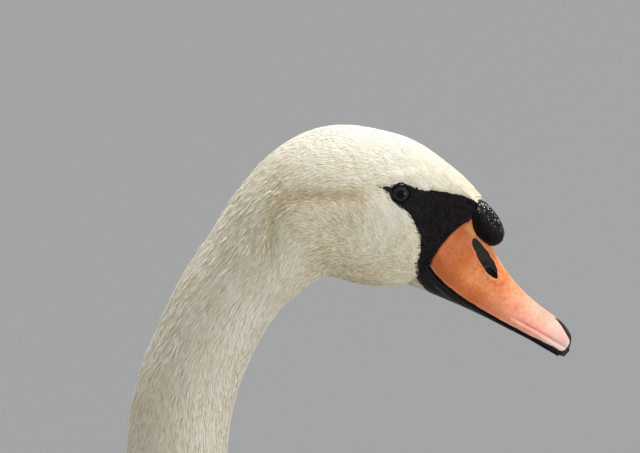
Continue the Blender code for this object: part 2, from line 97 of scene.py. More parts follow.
def natural_spline(knots, rows):
    """A function that gives rows of values anywhere on the natural cubic spline through (knots, rows)."""
    knots = np.asarray(knots, float)
    rows = np.asarray(rows, float)
    step = np.diff(knots)
    matrix = np.eye(len(knots))
    inner = np.arange(1, len(knots) - 1)
    matrix[inner, inner - 1] = step[:-1]
    matrix[inner, inner] = 2 * (step[:-1] + step[1:])
    matrix[inner, inner + 1] = step[1:]
    bend = np.zeros_like(rows)
    bend[1:-1] = 6 * np.diff(np.diff(rows, axis=0) / step[:, None], axis=0)
    bend = np.linalg.solve(matrix, bend)

    def at(places):
        places = np.clip(places, knots[0], knots[-1])
        low = np.clip(np.searchsorted(knots, places) - 1, 0, len(knots) - 2)
        gap = step[low][..., None]
        after = (places - knots[low])[..., None] / gap
        before = 1 - after
        straight = before * rows[low] + after * rows[low + 1]
        curve = (before**3 - before) * bend[low] + (after**3 - after) * bend[low + 1]
        return straight + gap**2 / 6 * curve

    return at


def drift(points, size, seed):
    """Smooth noise between about -1 and 1: a mean of sine waves of about that size, in random directions."""
    dice = np.random.default_rng(seed)
    total = np.zeros(points.shape[:-1])
    for _ in range(WAVES):
        way = dice.normal(size=3)
        way *= TAU / size * dice.uniform(0.6, 1.5) / np.linalg.norm(way)
        total += np.sin(points @ way + dice.uniform(0, TAU))
    return total * 2 / WAVES


# %% [markdown]
# ## From arrays to a mesh
# Blender takes a mesh as flat arrays, so nothing here loops over points. The faces of a closed shape
# should point outwards. The signed volume tells: if the sum over all faces is negative, every face is
# turned round.

# %% Mesh maker
FINISHES = {}
CRISP_ANGLE = math.radians(70)


def placed(name, data):
    """A new object for that data, linked into the scene."""
    thing = bpy.data.objects.new(name, data)
    bpy.context.scene.collection.objects.link(thing)
    return thing


def unit(vectors):
    """Vectors scaled to length 1."""
    return vectors / np.maximum(np.linalg.norm(vectors, axis=-1, keepdims=True), 1e-12)


def grid_faces(rows, columns, closed_around, closed_along=False):
    """Four-sided faces between neighbouring points of a grid that is numbered row by row."""
    i = np.arange(rows if closed_along else rows - 1)[:, None]
    j = np.arange(columns if closed_around else columns - 1)[None, :]
    below, right = (i + 1) % rows, (j + 1) % columns
    corners = [i * columns + j, i * columns + right, below * columns + right, below * columns + j]
    return np.stack(np.broadcast_arrays(*corners), axis=-1).reshape(-1, 4)


def capped(points):
    """Points and faces of a grid closed around, with a point in the middle of each end as its pole."""
    rows, columns = points.shape[:2]
    ring = np.arange(columns)
    following = (ring + 1) % columns
    last = (rows - 1) * columns
    first_pole, last_pole = rows * columns, rows * columns + 1
    everything = np.concatenate([points.reshape(-1, 3), [points[0].mean(0)], [points[-1].mean(0)]])
    start_cap = np.stack([np.full(columns, first_pole), following, ring], axis=-1)
    end_cap = np.stack([np.full(columns, last_pole), last + ring, last + following], axis=-1)
    return everything, [grid_faces(rows, columns, True), start_cap, end_cap]


def signed_volume(points, faces):
    """Six times the volume inside the faces, which is negative if they point inwards."""
    total = 0.0
    for group in faces:
        first = points[group[:, 0]]
        for k in range(1, group.shape[1] - 1):
            total += np.einsum("ij,ij->", first, np.cross(points[group[:, k]], points[group[:, k + 1]]))
    return total


def make_piece(name, points, faces, finish, slot, values=None, maps=None, smooth=True, crisp=False):
    """A named mesh on the bird. values are numbers and maps are flat coordinates, one for each point.

    A crisp one keeps its thin rims sharp, though it is smooth elsewhere.
    """
    if signed_volume(points, faces) < 0:
        faces = [group[:, ::-1] for group in faces]
    corners = np.concatenate([group.ravel() for group in faces]).astype(np.int32)
    sides = np.concatenate([np.full(len(group), group.shape[1]) for group in faces])
    mesh = bpy.data.meshes.new(name)
    mesh.vertices.add(len(points))
    mesh.vertices.foreach_set("co", (points + (SHIFT, 0.0, 0.0)).astype(np.float32).ravel())
    mesh.loops.add(len(corners))
    mesh.loops.foreach_set("vertex_index", corners)
    mesh.polygons.add(len(sides))
    mesh.polygons.foreach_set("loop_start", (np.cumsum(sides) - sides).astype(np.int32))
    mesh.update(calc_edges=True)
    for key, numbers in (values or {}).items():
        layer = mesh.attributes.new(key, "FLOAT", "POINT")
        layer.data.foreach_set("value", np.broadcast_to(numbers, len(points)).astype(np.float32))
    for key, places in (maps or {}).items():
        layer = mesh.uv_layers.new(name=key)
        layer.uv.foreach_set("vector", places[corners].astype(np.float32).ravel())
    if smooth:
        mesh.shade_smooth()
    else:
        mesh.shade_flat()
    if crisp:
        mesh.set_sharp_from_angle(angle=CRISP_ANGLE)
    mesh.materials.append(FINISHES[finish])
    piece = placed(name, mesh)
    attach(piece, "root")
    print(f"{name}: {int((sides - 2).sum())} triangles")
    return piece


def together(shells):
    """Several (points, faces) as one, with the point numbers of each following those of the one before."""
    points, faces, count = [], [], 0
    for shell_points, shell_faces in shells:
        points.append(shell_points)
        faces += [group + count for group in shell_faces]
        count += len(shell_points)
    return np.concatenate(points), faces


# %% [markdown]
# ## Finishes
# A finish is a Principled shader with nodes that vary its colour, gloss and relief. Numbers that are the
# same all over are set on the shader's own sockets. What depends on the place comes from numbers stored
# on the mesh, such as the black mask, so that skin and feathers share the same markings.

# %% Tools for finishes
def start_finish(name, roughness, **fixed):
    """A new material and a function that adds a node to it and wires its inputs."""
    material = bpy.data.materials.new(name)
    material.use_nodes = True
    tree = material.node_tree
    shader = tree.nodes["Principled BSDF"]
    shader.inputs["Roughness"].default_value = roughness
    for key, number in fixed.items():
        shader.inputs[key.replace("_", " ")].default_value = number
    FINISHES[name] = material

    def add(kind, inputs=None, out=0, **settings):
        node = tree.nodes.new("ShaderNode" + kind)
        for key, setting in settings.items():
            setattr(node, key, setting)
        wire(node, inputs or {})
        return node.outputs[out]

    def wire(node, inputs):
        for key, source in inputs.items():
            if isinstance(source, bpy.types.NodeSocket):
                tree.links.new(source, node.inputs[key])
            else:
                node.inputs[key].default_value = source

    return shader, add, wire


def stored(add, name):
    """The number of that name stored on the mesh."""
    return add("Attribute", out="Fac", attribute_name=name)


def noise(add, scale, detail=3.0, fineness=(1.0, 1.0, 1.0)):
    """Noise in the object's own coordinates, from 0 to 1, made finer or coarser along each axis."""
    place = add("TexCoord", out="Object")
    if fineness != (1.0, 1.0, 1.0):
        place = add("Mapping", {"Vector": place, "Scale": fineness})
    return add("TexNoise", {"Vector": place, "Scale": scale, "Detail": detail}, out="Fac")


def cells(add, scale):
    """Distance to the middle of the cell that a place lies in, with about scale cells to a metre."""
    return add("TexVoronoi", {"Vector": add("TexCoord", out="Object"), "Scale": scale}, out="Distance")


def calc(add, operation, *numbers):
    """The result of one sum, product or the like."""
    return add("Math", dict(enumerate(numbers)), operation=operation)


def between(add, value, low, high):
    """A number from low to high as 0 to 1, eased at both ends."""
    ends = {"Value": value, "From Min": low, "From Max": high}
    return add("MapRange", ends, interpolation_type="SMOOTHSTEP")


def blended(add, share, first, second):
    """A colour between two others."""
    return add("MixRGB", {"Fac": share, "Color1": first, "Color2": second})


def relief(add, height, distance, strength=1.0, under=None):
    """A bump of that height in metres, over another one if it is given."""
    inputs = {"Height": height, "Distance": distance, "Strength": strength}
    if under is not None:
        inputs["Normal"] = under
    return add("Bump", inputs, out="Normal")


# %% [markdown]
# ### Plumage
# A swan is white, but not one white. Forehead, front of the cheek and neck are whiter, and the rest carries a
# cream tinge. Painted light lies in the same tint: the top of the crown is lighter, as painted highlight, and
# the hollow behind the eye, the groove behind the cheek and the jaw line are darker, as painted shade. Each
# tuft has its own small tint. Black down covers the face from the eye to the bill, and one stored number
# paints it on the skin and on the tufts.

# %% Finish of the plumage
DOWN_ROUGHNESS, MASK_ROUGHNESS = 0.72, 0.45
BARB_SLANT, BARB_WAVES = 0.030, 2800.0  # how the barbs lean off the shaft, and how closely they are set


def plumage_finish(name, vane_relief):
    """White to cream by the stored tint, black inside the mask, with the relief of barbs on large vanes."""
    shader, add, wire = start_finish(name, DOWN_ROUGHNESS, Specular_IOR_Level=0.16)
    mottle = add("MapRange", {"Value": noise(add, 190.0), "To Min": 0.22, "To Max": 0.78})
    tint = calc(add, "ADD", stored(add, "tint"), mottle)
    cream = blended(add, between(add, tint, 0.35, 1.05), (0.60, 0.505, 0.33, 1), (0.790, 0.722, 0.535, 1))
    white = blended(add, between(add, tint, 0.95, 1.75), cream, (0.910, 0.885, 0.800, 1))
    soot = blended(add, noise(add, 700.0), (0.006, 0.006, 0.007, 1), (0.020, 0.019, 0.021, 1))
    black = between(add, stored(add, "mask"), -0.06, 0.10)
    colour = blended(add, black, white, soot)
    gloss = add("MapRange", {"Value": black, "To Min": DOWN_ROUGHNESS, "To Max": MASK_ROUGHNESS})
    grain = relief(add, noise(add, 2600.0, 2.0), 0.0002, 0.5)
    if vane_relief:
        flat = add("SeparateXYZ", {"Vector": add("UVMap", uv_map="Vane")}).node
        slant = calc(add, "MULTIPLY", calc(add, "ABSOLUTE", flat.outputs["X"]), BARB_SLANT)
        barb = calc(add, "SUBTRACT", flat.outputs["Y"], slant)
        wave = calc(add, "SINE", calc(add, "MULTIPLY", barb, BARB_WAVES))
        grain = relief(add, wave, 0.00012, 0.6, grain)
    wire(shader, {"Base Color": colour, "Roughness": gloss, "Normal": grain})


def black_down_finish():
    """Velvet black, with a grain of darker and paler tufts."""
    shader, add, wire = start_finish("down_black", 0.50, Specular_IOR_Level=0.11)
    darker, paler = (0.002, 0.002, 0.0025, 1), (0.021, 0.019, 0.020, 1)
    colour = blended(add, between(add, stored(add, "tint"), 0.3, 1.0), darker, paler)
    wire(shader, {"Base Color": colour, "Normal": relief(add, noise(add, 2600.0, 2.0), 0.0002, 0.6)})


plumage_finish("down_white", False)
plumage_finish("vane_white", True)
black_down_finish()

# %% [markdown]
# ### Horn, bare skin and eyes
# The bill is a thin horny sheath over bone: orange at its root, pink at its tip, with black round the
# nostril and along the cutting edges. The knob and the lids are bare black skin, dull and finely pebbled.
# The eye is near black, and so glossy that it looks wet.

# %% Finishes of bill, skin, eyes and feet
SOOT = (0.005, 0.005, 0.006, 1)
PUPIL = (0.002, 0.002, 0.003, 1)


def bill_finish():
    """Orange to pink along the bill, black where the stored number is above 0, with fine growth lines."""
    shader, add, wire = start_finish("bill_orange", 0.40, Specular_IOR_Level=0.20)
    along = stored(add, "along")
    blotch = between(add, calc(add, "ADD", noise(add, 75.0, 2.0), noise(add, 520.0, 5.0)), 0.72, 1.30)
    orange = blended(add, blotch, (0.68, 0.170, 0.040, 1), (0.84, 0.320, 0.125, 1))
    # painted shade: darker orange at the root, under the knob, and low on the sides over the cutting edge
    orange = blended(add, stored(add, "deep"), orange, (0.45, 0.108, 0.024, 1))
    pink = blended(add, blotch, (0.84, 0.330, 0.235, 1), (0.92, 0.480, 0.390, 1))
    pink = blended(add, between(add, along, 0.070, 0.088), pink, (0.73, 0.44, 0.395, 1))
    # painted highlight: paler orange along the top of the ridge near the root, where the light from above
    # falls
    paler = blended(add, between(add, stored(add, "ridge"), 0.3, 1.0), orange, (0.84, 0.36, 0.20, 1))
    stain = calc(add, "MULTIPLY", stored(add, "stain"), noise(add, 500.0, 4.0))
    paler = blended(add, between(add, stain, 0.18, 0.50), paler, (0.66, 0.34, 0.075, 1))
    colour = blended(add, between(add, along, 0.030, 0.078), paler, pink)
    edge = calc(add, "ADD", stored(add, "black"), calc(add, "MULTIPLY", noise(add, 900.0, 2.0), 0.30))
    black = between(add, edge, 0.06, 0.24)
    speck = between(add, noise(add, 1500.0, 1.0), 0.70, 0.78)
    # painted highlight: a pale line along every black border, on the sheath's rim
    beside = calc(add, "MULTIPLY", between(add, edge, -0.42, -0.20), between(add, edge, 0.0, -0.20))
    for share, strength, tinge in (
        (speck, stored(add, "specks"), (0.05, 0.03, 0.03, 1)),
        (beside, 0.45, (0.88, 0.50, 0.30, 1)),
        # painted shade: darker red in the crease near the tip
        (stored(add, "painted_crease_shade"), 0.55, (0.62, 0.230, 0.180, 1)),
        (stored(add, "cream"), 0.75, (0.84, 0.700, 0.590, 1)),
        (black, 1.0, SOOT),
    ):
        colour = blended(add, calc(add, "MULTIPLY", share, strength), colour, tinge)
    gloss = add("MapRange", {"Value": black, "To Min": 0.40, "To Max": 0.45})
    lines = relief(add, noise(add, 420.0, 4.0, (0.7, 2.2, 2.2)), 0.00025, 0.45)
    pits = relief(add, noise(add, 2200.0, 2.0), 0.00010, 0.5, lines)
    wire(shader, {"Base Color": colour, "Roughness": gloss, "Normal": pits})


def horn_finish():
    """Black horn with fine ridges along it and a dull shine, with a grey stripe of painted highlight along
    the lower bill's side.
    """
    shader, add, wire = start_finish("horn_black", 0.36, Specular_IOR_Level=0.15)
    colour = blended(add, noise(add, 500.0), SOOT, (0.020, 0.018, 0.019, 1))
    # painted highlight: a thin grey stripe, for the sheen along the side of the lower bill
    painted_highlight = calc(add, "MULTIPLY", stored(add, "painted_highlight"), noise(add, 300.0, 4.0, (0.4, 2.0, 2.0)))
    colour = blended(add, between(add, painted_highlight, 0.10, 0.65), colour, (0.150, 0.135, 0.120, 1))
    lines = relief(add, noise(add, 500.0, 3.0, (0.5, 2.5, 2.5)), 0.00030, 0.55)
    wire(shader, {"Base Color": colour, "Normal": relief(add, noise(add, 2400.0, 2.0), 0.00010, 0.5, lines)})


def bare_skin_finish():
    """Black bare skin with fine grain and pebbles, whose tips carry pale painted glints where the stored
    number says.
    """
    shader, add, wire = start_finish("skin_black", 0.34, Specular_IOR_Level=0.09)
    colour = blended(add, noise(add, 700.0), PUPIL, (0.009, 0.008, 0.009, 1))
    grain = relief(add, noise(add, 1500.0, 3.0), 0.00040, 0.8)
    # painted highlight: pale glints on the pebbles' tips, on the knob's side that faces the light
    tips = calc(add, "MULTIPLY", between(add, cells(add, 700.0), 0.40, 0.20), stored(add, "painted_highlight"))
    colour = blended(add, tips, colour, (0.66, 0.66, 0.66, 1))
    wire(shader, {"Base Color": colour, "Normal": relief(add, cells(add, 1150.0), -0.00050, 0.7, grain)})


def eye_finish():
    """By the angle from the eye's axis: black pupil, near-black iris with spokes, then black, all glossy."""
    shader, add, wire = start_finish("eye_dark", 0.07, Specular_IOR_Level=0.17)
    angle = stored(add, "angle")
    iris = blended(add, noise(add, 1500.0, 4.0), (0.011, 0.010, 0.013, 1), (0.034, 0.031, 0.039, 1))
    colour = blended(add, between(add, angle, 0.30, 0.36), PUPIL, iris)
    colour = blended(add, between(add, angle, 0.62, 0.70), colour, (0.004, 0.004, 0.004, 1))
    wire(shader, {"Base Color": colour})


def foot_finish():
    """Blackish-grey scaly skin: a net of small plates as cells, and folds between them."""
    shader, add, wire = start_finish("foot_grey", 0.48, Coat_Weight=0.08, Coat_Roughness=0.35)
    plates = cells(add, 520.0)
    tone = calc(add, "ADD", plates, noise(add, 120.0))
    colour = blended(add, between(add, tone, 0.3, 1.3), (0.050, 0.050, 0.053, 1), (0.014, 0.014, 0.016, 1))
    wire(shader, {"Base Color": colour, "Normal": relief(add, plates, -0.0005, 0.7)})


bill_finish()
horn_finish()
bare_skin_finish()
eye_finish()
foot_finish()
print("finishes:", ", ".join(FINISHES))

# %% [markdown]
# ## The body surface
# Each section of the body is an oval on a line from the back to the belly. The table is the same as the
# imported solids', so the surface is theirs too, only finer. A place on it is the distance along the body,
# from the root of the bill to the root of the tail, and the turn round it, from the back.

# %% Sections of the body
SECTIONS = np.array((
    # back or crown (x, z), belly or throat (x, z), half width, share of the line at which it is widest
    (0.04936, 0.68923, 0.00414, 0.63884, 0.0178, 0.58),  # root of the bill
    (0.0398, 0.7006, -0.0010, 0.6378, 0.0205, 0.57),
    (0.0286, 0.7104, -0.0080, 0.6378, 0.0228, 0.55),  # lores
    (0.0089, 0.7241, -0.0180, 0.6386, 0.0253, 0.53),  # eyes
    (-0.0100, 0.7303, -0.0265, 0.6402, 0.0280, 0.53),
    (-0.0380, 0.7330, -0.0355, 0.6432, 0.0304, 0.50),  # top of the crown
    (-0.0646, 0.7232, -0.0420, 0.6438, 0.0308, 0.48),
    (-0.0865, 0.7024, -0.0475, 0.6415, 0.0299, 0.48),
    (-0.0995, 0.6835, -0.0540, 0.6372, 0.0290, 0.50),  # nape
    (-0.1106, 0.6658, -0.0618, 0.6305, 0.0282, 0.50),
    (-0.1225, 0.6475, -0.0710, 0.6200, 0.0277, 0.50),
    (-0.1403, 0.6104, -0.0880, 0.5880, 0.0275, 0.50),
    (-0.1512, 0.5830, -0.0946, 0.5680, 0.0277, 0.50),
    (-0.1587, 0.5390, -0.0993, 0.5360, 0.0283, 0.50),
    (-0.1597, 0.4900, -0.0980, 0.4960, 0.0295, 0.50),
    (-0.1550, 0.4400, -0.0890, 0.4540, 0.0318, 0.50),
    (-0.1440, 0.3930, -0.0710, 0.4140, 0.0356, 0.50),
    (-0.1330, 0.3510, -0.0460, 0.3700, 0.0425, 0.50),
    (-0.1260, 0.3190, -0.0150, 0.3200, 0.0540, 0.50),  # foot of the neck
    (-0.1270, 0.2920, 0.0150, 0.2620, 0.0700, 0.50),
    (-0.1400, 0.2740, 0.0300, 0.1980, 0.0870, 0.50),  # breast
    (-0.1640, 0.2650, 0.0200, 0.1330, 0.1020, 0.50),
    (-0.1960, 0.2620, -0.0150, 0.0760, 0.1140, 0.50),
    (-0.2360, 0.2630, -0.0750, 0.0240, 0.1230, 0.50),
    (-0.2860, 0.2660, -0.1550, -0.0060, 0.1290, 0.50),  # belly
    (-0.3460, 0.2660, -0.2500, -0.0140, 0.1310, 0.50),
    (-0.4050, 0.2600, -0.3450, -0.0100, 0.1270, 0.50),
    (-0.4600, 0.2470, -0.4300, 0.0150, 0.1150, 0.50),
    (-0.5090, 0.2280, -0.4980, 0.0500, 0.0960, 0.48),
    (-0.5500, 0.2090, -0.5480, 0.0900, 0.0760, 0.46),
    (-0.5860, 0.1950, -0.5860, 0.1270, 0.0600, 0.44),  # root of the tail
))
middles = (SECTIONS[:, 0:2] + SECTIONS[:, 2:4]) / 2
KNOTS = np.concatenate([[0.0], np.cumsum(np.linalg.norm(np.diff(middles, axis=0), axis=1))])
body_rows = natural_spline(KNOTS, SECTIONS)
BODY_LENGTH = KNOTS[-1]
HEAD_END, NECK_HIGH, NECK_LOW, NECK_END, FLANK_START = KNOTS[[8, 13, 16, 19, 23]]

BILL = np.array((
    # distance along it, then the heights of ridge, cutting edge and underside, and the half width
    (0.0000, 0.0362, 0.0002, -0.0193, 0.0176),
    (0.0100, 0.0346, -0.0014, -0.0146, 0.0175),
    (0.0220, 0.0302, -0.0012, -0.0101, 0.0171),
    (0.0340, 0.0258, 0.0000, -0.0059, 0.0165),
    (0.0480, 0.0228, 0.0026, -0.0020, 0.0160),
    (0.0620, 0.0218, 0.0056, 0.0018, 0.0160),
    (0.0740, 0.0224, 0.0082, 0.0050, 0.0162),
    (0.0830, 0.0226, 0.0096, 0.0066, 0.0156),
    (0.0900, 0.0210, 0.0100, 0.0076, 0.0126),
    (0.0945, 0.0176, 0.0098, 0.0082, 0.0080),
    (0.0965, 0.0134, 0.0096, 0.0088, 0.0030),
))
bill_rows = natural_spline(BILL[:, 0], BILL)
BILL_LENGTH = BILL[-1, 0]

# The bill has its own directions: along it, from the corner of the gape, and up from it.
BILL_ROOT = np.array((0.0173, 0.6535))
BILL_SLOPE = math.radians(41.9)
# Heights up from the gape, and the half width of the face at each.
LORE_HEIGHT = np.array((-19.7, -16, -8, 0, 10, 22, 30, 36, 44, 48)) / 1000
LORE_WIDTH = np.array((0, 8.0, 14.5, 17.3, 15.0, 10.6, 8.8, 8.0, 6.5, 0)) / 1000
LORE_REACH = 0.028  # how far back the face keeps the bill's shape


def from_bill(along, across, up):
    """Points from their places in the bill's own directions."""
    cos, sin = math.cos(BILL_SLOPE), math.sin(BILL_SLOPE)
    return xyz(BILL_ROOT[0] + along * cos + up * sin, across, BILL_ROOT[1] - along * sin + up * cos)


def lore_width(up):
    """Half width of the face at the root of the bill, at that height in the bill's own directions."""
    return np.interp(up, LORE_HEIGHT, LORE_WIDTH)


def body_points(place, turn):
    """Ovals round the lines from back to belly. Near the bill they change into the outline of its root."""
    row = body_rows(place)[:, None, :]
    cos, sin = np.cos(turn), np.sin(turn)
    reach = np.where(cos > 0, row[..., 5], 1 - row[..., 5])
    down = row[..., 5] - reach * cos
    x = row[..., 0] + (row[..., 2] - row[..., 0]) * down
    z = np.maximum(row[..., 1] + (row[..., 3] - row[..., 1]) * down, 0.0)
    span = LORE_HEIGHT[-1] - LORE_HEIGHT[0]
    like_bill = 1 - ease(0.0, LORE_REACH, place[:, None])
    narrow = np.sign(sin) * lore_width(LORE_HEIGHT[-1] - span * down)
    y = row[..., 4] * sin * (1 - like_bill) + narrow * like_bill
    return xyz(x, y, z)


def smooth_path(points, count):
    """A curve through the points, read at evenly spread places."""
    lengths = np.concatenate([[0.0], np.cumsum(np.linalg.norm(np.diff(points, axis=0), axis=1))])
    return natural_spline(lengths, points)(np.linspace(0, lengths[-1], count))


def distance_to_side(first, second, x, z):
    """Distance to the line from one point to another, and the share of its length at which that is."""
    (ax, az), (bx, bz) = first, second
    dx, dz = bx - ax, bz - az
    share = np.clip(((x - ax) * dx + (z - az) * dz) / (dx * dx + dz * dz), 0, 1)
    return np.hypot(x - ax - share * dx, z - az - share * dz), share


def distance_to_path(path, x, z):
    """Distance to the nearest point of an open path, and the share of the path's sides at which it lies."""
    nearest = np.full(x.shape, np.inf)
    where = np.zeros(x.shape)
    for order, (first, second) in enumerate(zip(path, path[1:])):
        gap, share = distance_to_side(first, second, x, z)
        where = np.where(gap < nearest, (order + share) / (len(path) - 1), where)
        nearest = np.minimum(nearest, gap)
    return nearest, where


KNOB_TOP, KNOB_FOOT = np.array((0.0432, 0.6834)), np.array((0.0527, 0.6704))
KNOB_RADII = (0.0084, 0.0094)
KNOB_WIDTH = 1.12
CHEEK_GROOVE = smooth_path(np.array((
    (-13.0, 703.5), (-33.0, 698.5), (-54.0, 699.5), (-67.5, 694.5), (-73.0, 682.5), (-73.0, 670.0),
    (-65.0, 659.0),
)) / 1000, 40)


def knob_gap(points):
    """Distance from the knob's surface, taken as a line with a radius that grows along it."""
    way = KNOB_FOOT - KNOB_TOP
    ahead, up = points[..., 0] - KNOB_TOP[0], points[..., 2] - KNOB_TOP[1]
    share = np.clip((ahead * way[0] + up * way[1]) / (way @ way), 0, 1)
    away = np.sqrt(
        (ahead - share * way[0]) ** 2 + (up - share * way[1]) ** 2 + (points[..., 1] / KNOB_WIDTH) ** 2
    )
    return away - (KNOB_RADII[0] + (KNOB_RADII[1] - KNOB_RADII[0]) * share)


def cheek_groove(x, z, width):
    """1 in the groove that runs back from the eye and down behind the cheek, and 0 away from it."""
    gap, share = distance_to_path(CHEEK_GROOVE, x, z)
    return bump(gap, 0.0, width) * ease(0.0, 0.35, share) * ease(1.0, 0.75, share)


def face_relief(points):
    """Height over the plain ovals: brow, hollows round and before the eye, cheek, and the knob's foot."""
    x, z, out = points[..., 0], points[..., 2], np.abs(points[..., 1])
    height = -0.0012 * hill(x, z, (0.001, 0.6985), (0.0085, 0.0070))
    height += 0.0010 * hill(x, z, (0.003, 0.7088), (0.0100, 0.0028))
    height -= 0.0014 * hill(x, z, (0.021, 0.6905), (0.0100, 0.0060))
    height += 0.0012 * hill(x, z, (-0.046, 0.6780), (0.0240, 0.0170))
    height -= 0.0013 * cheek_groove(x, z, 0.0042)
    height -= 0.0008 * hill(x, z, (-0.018, 0.6520), (0.0300, 0.0030))
    foot = bump(np.maximum(knob_gap(points), 0.0), 0.0, 0.0030) * ease(0.003, 0.009, out)
    return height * ease(0.008, 0.015, out) + 0.0013 * foot


# %% [markdown]
# ## A sheet to grow feathers on
# Feathers need more than points: the way outwards, how far one step in each parameter goes, and how deep
# the coat is. All of that is worked out once on a grid. Anything in between is read off by mixing the
# four neighbours, which is fast enough for two hundred thousand tufts.

# %% Sheets
# What a sheet holds at each point: the point, the way outwards, the two step lengths and the coat's depth.
POINT, NORMAL = slice(0, 3), slice(3, 6)
STEP_ALONG, STEP_AROUND, DEPTH = 6, 7, 8


def make_sheet(places, turns, points, depth, closed):
    """A grid with its normals, step lengths and coat depth, packed together for reading off."""
    along = np.gradient(points, places, axis=0)
    if closed:
        step = turns[1] - turns[0]
        around = (np.roll(points, -1, axis=1) - np.roll(points, 1, axis=1)) / (2 * step)
    else:
        around = np.gradient(points, turns, axis=1)
    normal = unit(np.cross(around, along))
    lengths = np.stack([np.linalg.norm(along, axis=-1), np.linalg.norm(around, axis=-1)], axis=-1)
    fields = np.concatenate([points, normal, lengths, depth[..., None]], axis=-1)
    return {"places": places, "turns": turns, "fields": fields, "closed": closed}


def read_sheet(sheet, place, turn):
    """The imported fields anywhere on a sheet, mixed from the four nearest points of its grid."""
    fields, places, turns = sheet["fields"], sheet["places"], sheet["turns"]
    row = np.interp(place, places, np.arange(len(places)))
    if sheet["closed"]:
        column = (turn - turns[0]) / (turns[1] - turns[0]) % len(turns)
    else:
        column = np.interp(turn, turns, np.arange(len(turns)))
    i = np.minimum(row.astype(int), len(places) - 2)
    j = np.minimum(column.astype(int), len(turns) - (1 if sheet["closed"] else 2))
    down, right = (row - i)[..., None], (column - j)[..., None]
    k = (j + 1) % len(turns)
    upper = fields[i, j] * (1 - right) + fields[i, k] * right
    lower = fields[i + 1, j] * (1 - right) + fields[i + 1, k] * right
    return upper * (1 - down) + lower * down


def lifted(fields, height):
    """Points moved outwards from a sheet by a height."""
    return fields[..., POINT] + fields[..., NORMAL] * height[..., None]


def sunk(fields, share=1.0):
    """Points moved inwards from a sheet by a share of its depth: 1 is the skin, 0 the coat's surface."""
    return lifted(fields, -fields[..., DEPTH] * share)


COAT_PLACES = (0.0, KNOTS[3], HEAD_END, NECK_HIGH, NECK_END, KNOTS[22], BODY_LENGTH)
COAT_DEPTHS = (0.0004, 0.0014, 0.0022, 0.0028, 0.0038, 0.0042, 0.0045)
MASK_DEPTH = 0.0006
HEAD_ROWS = 168  # rows of the body's grid that lie on the head
body_places = np.concatenate([
    np.linspace(0.0, HEAD_END, HEAD_ROWS, endpoint=False),
    np.linspace(HEAD_END, NECK_LOW, 100, endpoint=False),
    np.linspace(NECK_LOW, BODY_LENGTH, 132),
])
body_turns = full_turn(240)

# %% [markdown]
# ## The black mask
# The mask of a mute swan starts as a point behind the eye, takes in the eye, and widens to the root of
# the bill. Its outline is drawn in side view as two curves, closed ahead of the face. The signed
# distance to it, positive inside, is stored on skin and tufts alike.

# %% Outline of the mask
MASK_UPPER = np.array((
    (-11.4, 704.0), (-7.0, 703.0), (-2.6, 703.2), (1.6, 703.6), (6.2, 702.8), (10.8, 700.9),
    (16.5, 699.6), (24.1, 697.3), (31.7, 695.8), (39.8, 692.4), (45.8, 689.4), (50.5, 686.4), (56.0, 682.0),
)) / 1000
MASK_REAR = np.array((
    (11.6, 644.6), (11.0, 649.5), (10.8, 655.8), (11.6, 661.0), (12.4, 665.4), (12.6, 670.3),
    (10.8, 677.6), (8.7, 682.2), (6.3, 686.4), (3.2, 689.5), (0.0, 691.7), (-4.2, 695.3),
    (-6.6, 700.9), (-11.4, 704.0),
)) / 1000
MASK_FRONT = np.array((
    (80.0, 675.0), (80.0, 600.0), (40.0, 626.0), (24.7, 634.8), (18.1, 638.7), (12.2, 643.4),
)) / 1000
MASK_FADE = 0.003  # the stored number goes from -1 to 1 over this distance on either side

mask_outline = np.concatenate([smooth_path(MASK_UPPER, 34)[:-1], MASK_FRONT, smooth_path(MASK_REAR, 44)[:-1]])


def distance_inside(outline, x, z):
    """Signed distance to a closed outline: to the nearest of its sides, and positive inside."""
    nearest = np.full(x.shape, np.inf)
    inside = np.zeros(x.shape, bool)
    for (ax, az), (bx, bz) in zip(outline, np.roll(outline, -1, axis=0)):
        nearest = np.minimum(nearest, distance_to_side((ax, az), (bx, bz), x, z)[0])
        if az != bz:
            inside ^= ((az > z) != (bz > z)) & (x < (z - az) / (bz - az) * (bx - ax) + ax)
    return np.where(inside, nearest, -nearest)


def mask_number(points):
    """The signed distance to the mask's outline, a little wavy, as -1 to 1."""
    number = np.full(points.shape[:-1], -1.0)
    near = points[..., 0] > -0.020
    close = points[near]
    wavy = 0.0005 * drift(close, 0.006, 3)
    inside = distance_inside(mask_outline, close[:, 0], close[:, 2]) + wavy
    number[near] = np.clip(np.maximum(inside, -0.0002 - knob_gap(close)) / MASK_FADE, -1, 1)
    return number


# %% [markdown]
# ## The thighs under the flank
# A sitting swan's thigh is a swelling of the flank that ends at the ankle, close over the floor. Here the
# body's own surface is pushed out sideways to the thigh's ovals. A smooth maximum of the two leaves no
# crease.

# %% Thighs
THIGH = np.array((
    # height over the floor, distance behind the level of the eye, half width
    (0.022, 0.4470, 0.0060), (0.031, 0.4450, 0.0130), (0.040, 0.4420, 0.0200), (0.055, 0.4370, 0.0275),
    (0.072, 0.4300, 0.0310), (0.090, 0.4240, 0.0300), (0.108, 0.4210, 0.0250), (0.135, 0.4200, 0.0120),
))
THIGH_OUT = 0.0955  # distance from its middle to the bird's
THIGH_DEPTH = 2.1  # how much longer it is, from front to back, than wide
THIGH_BLEND = 0.016


